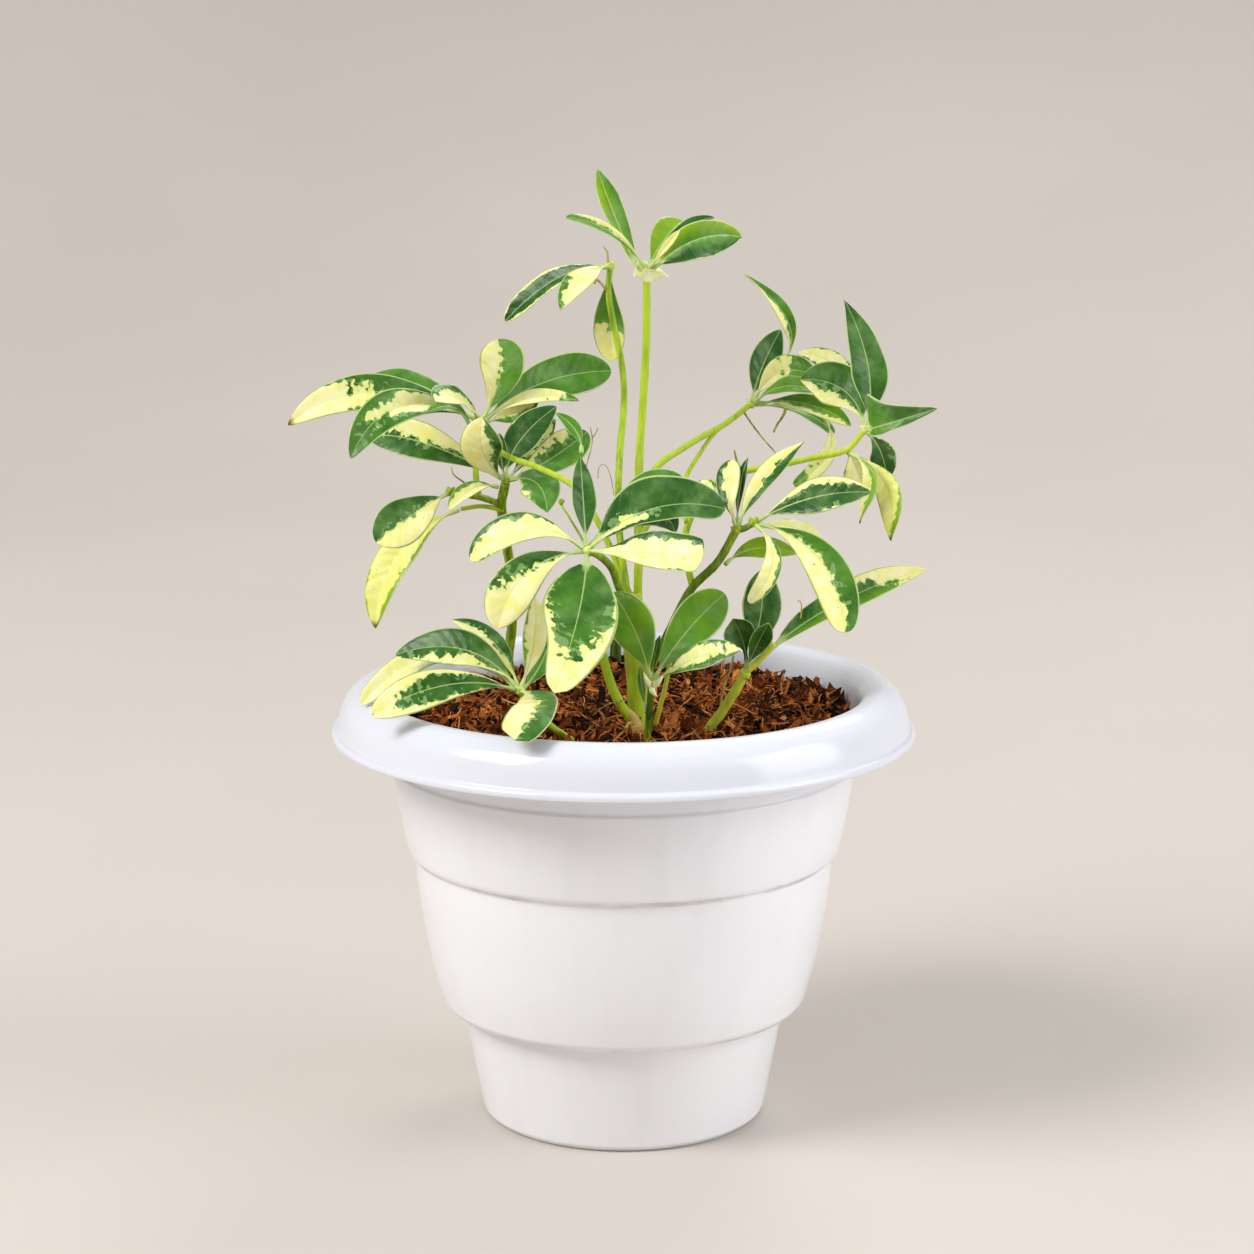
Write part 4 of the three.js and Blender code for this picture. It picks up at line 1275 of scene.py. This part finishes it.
# Centre fan. The broad leaf in the middle, on a short stalk from the trunk's top, spread like a hand.
# The largest leaflet of the plant hangs down in front: green, with a white margin and a cream end.
HANGING_OUTLINE = [
    (0, 0.8, 0.8), (0.05, 1.1, 1.1), (0.1, 2.9, 2.9), (0.18, 6.3, 6.4), (0.27, 9.6, 9.8), (0.37, 12.2, 12.2),
    (0.46, 13.4, 13.1), (0.55, 13.8, 12.0), (0.65, 13.0, 9.6), (0.75, 11.0, 7.3), (0.85, 8.6, 6.0),
    (0.93, 6.0, 4.6), (0.975, 3.6, 2.8), (1, 1.6, 1.2),
]
BLUNT_OUTLINE = [
    (0, 0.8, 0.8), (0.16, 1.2, 1.1), (0.22, 2.1, 1.5), (0.27, 3.7, 2.1), (0.34, 6.4, 3.4), (0.46, 7.8, 4.9),
    (0.6, 8.2, 6.3), (0.73, 7.8, 7.2), (0.87, 7.3, 7.2), (0.95, 6.2, 7.0), (0.985, 5.4, 6.4), (1, 4.6, 5.4),
]
DARK_OUTLINE = [
    (0, 0.7, 0.7), (0.1, 0.9, 0.8), (0.15, 2.0, 1.2), (0.2, 5.2, 2.8), (0.28, 8.2, 3.5), (0.41, 11.2, 5.1),
    (0.58, 11.8, 5.8), (0.73, 10.2, 6.3), (0.86, 7.5, 6.3), (0.93, 5.4, 5.4), (0.98, 3.0, 3.0), (1, 1.6, 1.6),
]
fan("centre", [
    ((-34, 214.2, 46), (-54.3, 202.8, 42), "spoon", 15, (0.5, 0, 15), (1.2, -0.5, -1.5, -0.7), 0.1),
    ((-34, 198.2, 52), (-45, 178, 58), "spoon", 16.5, (0.7, 0, 12), (-0.5, -1.0, 0.2, 2.4), 0.15),
    ((-16, 183, 62), (-24.8, 154.5, 80), HANGING_OUTLINE, 26, (0.8, 0, 8), (-1.5, 0, 1.5, 2.6), 0.25),
    ((8, 205.5, 54), (28.3, 204.5, 62), BLUNT_OUTLINE, 15, (0.6, 0, 10), (1.15, 0.8, -2.0, -0.3), 0.1),
    ((10, 221, 38), (36, 221, 30), DARK_OUTLINE, 18, (0.6, 0, 15), (0.35, 1.0, -3.0, -3.0), 0.15),
    ((-14.2, 225, 38), (-15.2, 240, 26), "ovate", 9.5, (0.8, 22, 15), PLAIN, 0.15),
    ((8, 219.5, 30), (18.5, 212.5, 24), "oval", 11, (0.8, 0, 15), PLAIN, 0.05),
    ((6, 227.5, 28), (21.5, 231, 22), "oval", 11, (0.5, 0, 15), PLAIN, 0.45),
    ((-16.5, 248.5, 22), (-24, 255.3, 20), "lance", 5, (0.6, 0, 15), PLAIN, 0.45, (-15, 240, 25)),
])


# Right inner fan. Narrow young leaflets that stand up from the end of the trunk's right-hand branch.
# The two longest are striped cream and green.
fan("right_inner", [
    ((37, 227, 20), (38, 238.5, 12), "spoon", 9.5, (0.9, -20, 12), (0.5, 1.3, -0.2, 0), 0.1),
    ((48.5, 230, 20), (63.5, 245, 12), "lance", 9, (0.5, 0, 20), (0.1, -1.5, 0.2, 0), 0.15),
    ((41.2, 229, 18), (43.8, 239.3, 14), "lance", 4, (0.3, 0, 25), PLAIN, 0.05),
    ((30.5, 227.5, 9), (28.5, 231.5, 4), "spoon", 6, (0.5, 0, 15), (0.4, 0, -1, 0), 0.3, (36, 222, 14)),
    ((44, 224, 18), (46.5, 232, 14), "lance", 4, (0.5, 0, 20), PLAIN, 0.05),
])


# Right outer fan. The broader leaflets of the same branch, which spread and hang to the right.
# The longest is cream on its left and green on its right.
fan("right_outer", [
    ((66, 224.8, 30), (87.3, 227, 34), "oval", 14, (0.65, 0, 15), (-0.85, -0.5, 1.7, 0), 0.05),
    ((53, 203, 40), (44.5, 187.3, 42), "strap", 7, (0.7, 0, 12), (0.9, 1.0, -0.6, 0), 0.15),
    ((69, 203.5, 34), (78.7, 176.5, 46), "strap", 15, (0.75, 0, 12), (0.25, 1.6, -0.5, 0), 0.3),
    ((60, 214.5, 12), (70, 210.5, 8), "oval", 8, (0.5, 0, 15), ALL_CREAM, 0.4),
    ((46.5, 206.8, 16), (61.5, 205, 14), "oval", 8, (0.8, 0, 15), PLAIN, 0.95, (35.5, 200.5, 22)),
])


# Upper right fan. Small narrow leaflets at the end of the stalk that rises to the right.
# They are green with some cream, and the one that stands highest is twisted.
fan("upper_right", [
    ((48.3, 270.5, -42), (55, 284.5, -50), "oval", 11.5, (0.7, 15, 12), PLAIN, 0.1),
    ((64, 258.5, -28), (80, 250.5, -22), "oval", 9, (0.5, 0, 12), (-0.5, 1.0, 0.2, 0), 0.6),
    ((57.5, 287, -45), (42, 304, -48), "oval", 6.5, (0.7, -55, 25, 100), (-0.5, -1.3, 0, 0), 0.35,
     (55.5, 272.8, -44)),
    ((55, 269.5, -32), (68, 267.5, -30), "oval", 12.5, (0.7, 0, 15), (0.75, 0, 0, -2.6), 0.6),
    ((56, 264.5, -26), (69.5, 262.5, -22), "oval", 9.5, (0.5, 0, 15), PLAIN, 0.6),
    ((62, 256, -38), (74, 247.8, -38), "strap", 6, (0.4, 0, 12), PLAIN, 0.4),
    ((72.3, 241.5, -28), (60, 229.5, -30), "strap", 6.2, (0.8, 0, 12), (1.4, 0, 0, -2.1), 0.6,
     (70, 254, -32)),
])


# Far right fan. Broad dark leaflets and a few hanging cream ones, at the end of the lowest long stalk.
# The upright one is plain dark green, and the one that points right is nearly all above its midrib.
KEEL_OUTLINE = [
    (0, 0.8, 0.8), (0.08, 2.4, 1.0), (0.16, 9.0, 1.9), (0.24, 13.0, 2.6), (0.34, 12.0, 3.0), (0.48, 8.6, 3.0),
    (0.62, 6.0, 2.6), (0.78, 3.8, 2.0), (0.9, 2.0, 1.2), (1, 0.3, 0.3),
]
fan("far_right", [
    ((85.8, 271, -4), (77, 295, -16), "ovate", 14, (0.8, 15, 12), PLAIN, 0.15),
    ((92.3, 251.2, 12), (110, 256.7, 18), KEEL_OUTLINE, 20, (0.8, 0, 12), PLAIN, (0.65, 0.1, -0.6)),
    ((77.5, 263, -10), (62, 267, -14), "oval", 18.5, (0.6, 0, 12), (-0.55, -1.2, 0, 0), 0.25),
    ((93, 228.6, 12), (93, 210.3, 18), "oval", 9.5, (0.7, -20, 16, 55, 2), (1.0, 0.7, -0.4, -0.9), 1.05,
     (79, 241.5, 5)),
    ((90.5, 241.5, -2), (92.7, 231.5, -2), "oval", 10, (0.7, 0, 15), (-1.3, -1.3, 0, 0), 0.1),
    ((81.5, 236.5, -2), (86, 226.5, -5), "oval", 11, (0.8, 0, 15), ALL_CREAM, 0.3, (79, 241.5, 5)),
    ((87, 231.6, 14), (81.8, 216.6, 16), "lance", 6.5, (0.6, 0, 20, 40, 2), (0.0, 1.2, 0, 0), 0.9,
     (79, 241.5, 5)),
    ((76, 270, -24), (61, 276, -32), "oval", 10, (0.6, 0, 15), (0.9, 0, -1.2, -0.2), 0.2),
])


# Front left fan. A low leaf on a stalk that rises from the mix at the front.
# Its leaflets lie over the pot's rim.
BROAD_OUTLINE = [
    (0, 0.8, 0.8), (0.09, 0.9, 0.9), (0.17, 4.2, 1.6), (0.27, 6.8, 3.4), (0.4, 7.4, 5.8), (0.6, 7.0, 7.4),
    (0.8, 6.6, 8.2), (0.92, 5.8, 7.4), (0.98, 4.4, 5.6), (1, 3.2, 4.0),
]
fan("front_left", [
    ((-56, 170, 44), (-81.3, 168.3, 36), "oval", 15, (0.55, 0, 12), (-0.4, -1.3, -0.3, -0.6), 0.15),
    ((-62, 157.5, 60), (-90, 146.3, 66), "spoon", 14, (0.65, 0, 12), (-1.0, 0.25, 1.6, 1.3), 0.15),
    ((-31.2, 150.2, 76), (-38.8, 137.3, 97), BROAD_OUTLINE, 15, (0.4, 0, 8), (0.1, 1.4, -0.6, 0), 0.2),
    ((-32, 172.5, 46), (-31.5, 189, 40), "oval", 9.5, (0.9, 20, 12), (0.75, 0.7, -0.4, 0.3), 0.75),
    ((-66, 168, 30), (-93.5, 150.5, 34), "strap", 10, (0.5, 0, 12), (1.2, 0, -0.5, 0), 0.4),
    ((-46, 172.5, 40), (-61, 181, 30), "oval", 9, (0.4, 0, 15), (0.1, -1.4, 0, 0), 0.1),
    ((-29.5, 165, 39), (-24, 181, 33), "oval", 9, (0.6, 0, 15), PLAIN, 0.35),
])


# Front fan. Three open leaflets and two small folded ones, on a short stalk that rises from the mix.
# Two of the open ones are plain green with pale midribs. Three pale bracts stand at the knob.
fan("front", [
    ((4.5, 176, 42), (-4, 191, 34), "oval", 16, (0.8, -15, 10), PLAIN, 0.66),
    ((21.5, 175.5, 42), (36, 190.5, 36), "spoon", 16, (0.8, 0, 10), PLAIN, 0.6),
    ((26, 167.2, 52), (41.3, 170, 58), "oval", 11, (0.55, 0, 15), (0.3, -0.3, -1.3, 0), 0.3),
    ((11, 167, 42), (13, 175.5, 40), "lance", 4, (0.8, 0, 40), PLAIN, 0.35),
    ((6.6, 156, 42), (6, 164.5, 41), "lance", 3.2, (0.8, 0, 30), PLAIN, 0.7, (8.6, 146, 42)),
])
FRONT_BRACTS = [
    [(9.6, 156.4, 46.5), (8.7, 158, 47.8), (7.9, 159.8, 48.6), (7.2, 161.8, 49)],
    [(10.4, 156.4, 46.5), (11.8, 157.6, 47.8), (13, 159, 48.6), (14.2, 160.8, 49)],
    [(10, 157, 46.5), (10.2, 155.2, 48), (11, 153.8, 48.6), (12.2, 153, 48.8)],
]
FRONT_BRACT_RADII = (0.9, 1.15, 0.7, 0.1)
FRONT_BRACT_SIDES = 9
front_bracts = []
for places in FRONT_BRACTS:
    front_bracts.append(rod([sighted(*place) for place in places], FRONT_BRACT_RADII, FRONT_BRACT_SIDES))
grown_piece("front_bracts", front_bracts, None, bract_skin)


# Front right fan. Leaflets on the pale green stem that leans right: two small cupped ones with a pale lip,
# a broad dark one behind them, and a long one, green and then cream, that points out over the rim.
LONG_OUTLINE = [
    (0, 0.8, 0.8), (0.1, 0.9, 0.9), (0.17, 2.6, 2.0), (0.28, 4.6, 3.2), (0.42, 5.2, 4.2), (0.55, 5.7, 5.2),
    (0.68, 6.3, 5.2), (0.8, 5.6, 4.2), (0.92, 2.9, 2.2), (1, 0.3, 0.3),
]
CUPPED_OUTLINE = [
    (0, 0.7, 0.7), (0.42, 0.8, 0.8), (0.52, 1.8, 1.8), (0.64, 5.0, 4.6), (0.8, 6.8, 6.8), (0.92, 6.0, 6.4),
    (1, 2.8, 3.6),
]
STEM_FORK = (43.6, 162, 30.5)
fan("front_right", [
    ((43, 171.5, 33), (39, 181.2, 38), CUPPED_OUTLINE, 12, (0.9, -10, 34), THIN_MARGIN, 0.12, STEM_FORK),
    ((48.8, 183, 24), (48.8, 199, 17), "oval", 14.5, (0.9, 15, 10), PLAIN, 0.1, STEM_FORK),
    ((76, 187, 20), (107.5, 199.5, 6), LONG_OUTLINE, 12, (0.6, 0, 20), (-1.9, -0.9, 0.7, 3.3), (0.3, 0.4, 0),
     (51, 169, 31.5)),
    ((47.4, 171.5, 36), (51.6, 179.6, 42), "spoon", 8.5, (0.9, 14, 30), (-2.2, 0, 1.8, 0.8), 0.2,
     STEM_FORK),
])


# Small growth. Side stalks, an old bud, an old cut stem at the back, dry stubs, threads and a dead stalk.
# Each one still sits where it grew, on a stem, a stalk, a knob or in the mix.
SIDE_RING_GAP = 30
OLD_BUD = (-22, 223.4, 30)
OLD_BUD_R = 0.95
DRY_RING_GAP = 7
DRY_TAPER = 0.5
DRY_SIDES = 11
DRY_BROWN = (0.22, 0.16, 0.04, 1)
DRY_TAN = (0.52, 0.46, 0.15, 1)

# Each side stalk: radius, tone of its skin, places. Each dry one: radius, places.
SIDE_STALKS = {
    "stalk_to_upper_right": (0.75, 1.0, [
        (22.3, 216, 9), (21.3, 224, 2), (22, 232, -6), (27, 241, -16), (32, 248, -24), (36, 251.4, -28),
    ]),
    "stalk_to_far_left": (1.05, 1.0, [
        (-51, 225, -21), (-51.8, 231, -22), (-52, 237, -24), (-51.5, 245, -28), (-50.3, 250.5, -33),
    ]),
    "pale_front_stalk": (0.85, 1.6, [(10.5, 139, 22), (13, 149, 25), (15.2, 158, 28), (16.8, 166.5, 30)]),
    "old_back_stem": (2.1, 0.15, [
        (-2.4, 158, -72), (-2.8, 165, -72), (-2.7, 172, -72), (-2.4, 178.5, -72),
    ]),
    "stalk_of_old_bud": (0.4, 0.7, [(-12, 204, 40), (-14, 209, 37), (-18, 216, 33), (-22, 222.5, 30)]),
}
DRY_STALKS = {
    "dead_right_stalk": (0.35, [
        (34.3, 146, 20), (35.4, 155, 21), (38.4, 164, 22), (39, 169, 22), (36.8, 172.5, 22),
    ]),
    "stub_top_left": (0.4, [(-5, 306, -14), (-5.4, 309, -14), (-5.6, 312, -14)]),
    "stub_top_left_fork": (0.25, [(-5.6, 311.5, -14), (-6.4, 312.8, -14), (-7.2, 313.6, -14)]),
    "hook_top_left": (0.45, [(-5.2, 297, -13), (-7.2, 300, -12), (-9.4, 301.8, -11), (-10, 300.4, -10.5)]),
    "thread_centre": (0.2, [(-16, 227, 5), (-13.2, 236, 3), (-11, 245, 1), (-11.6, 250, 0)]),
    "thread_centre_fork": (0.16, [(-11.2, 246, 1), (-9.6, 248.2, 1), (-9, 250, 1)]),
    "thread_low_left": (0.25, [(-53, 228.4, -20), (-57, 231, -18), (-60, 233.5, -16), (-60.6, 236, -15)]),
    "thread_right": (0.3, [(42, 255.8, -34), (46, 250, -33), (50, 245, -32), (53.6, 241, -31)]),
    "thread_right_tip": (0.45, [(57, 256.4, -34), (56, 254, -34), (54, 251, -34), (52.8, 248.3, -34)]),
    "stub_right": (0.4, [(42, 234, 6), (40, 238, 6.5), (39, 242, 7)]),
    "curl_front_right": (0.2, [(63, 181.5, 26), (63.3, 185.5, 26), (62.6, 188, 26), (61.8, 187.4, 26)]),
    "thread_behind_centre": (0.16, [
        (-3.4, 226, 8), (-4.4, 232, 5), (-6.4, 236.6, 3), (-8.5, 236, 2), (-9, 232, 1),
    ]),
    "thread_in_mix": (0.2, [(-11, 146, 30), (-7, 149.4, 33), (-2, 151.3, 34), (3, 151.8, 33)]),
}

dice = random.Random(31)
for name, (thick, tone, places) in SIDE_STALKS.items():
    side_stalk = grown_rod(places, thick, dice, SIDE_RING_GAP, STALK_TAPER)
    grown_piece(name, [side_stalk], None, stalk_skin, [tone])
grown_piece("old_bud", [knob(OLD_BUD, dice, OLD_BUD_R)], None, stalk_skin)

dry_skin, tree, shader = new_material("dry_skin")
dry_streak = mottle(stretched(real_place(tree), (1, 1, 0.2)), 500, 4, 0.6)
set_shader(shader, {
    "Base Color": blend_colours(fade(dry_streak, 0.35, 0.65), DRY_BROWN, DRY_TAN),
    "Roughness": fade(dry_streak, -1.2, 0.8),
    "Normal": bumps(dry_streak, 0.0004, 0.8),
})
dry_stalks = []
for thick, places in DRY_STALKS.values():
    dry_stalks.append(grown_rod(places, thick, dice, DRY_RING_GAP, DRY_TAPER, DRY_SIDES))
grown_piece("dry_growth", dry_stalks, None, dry_skin)
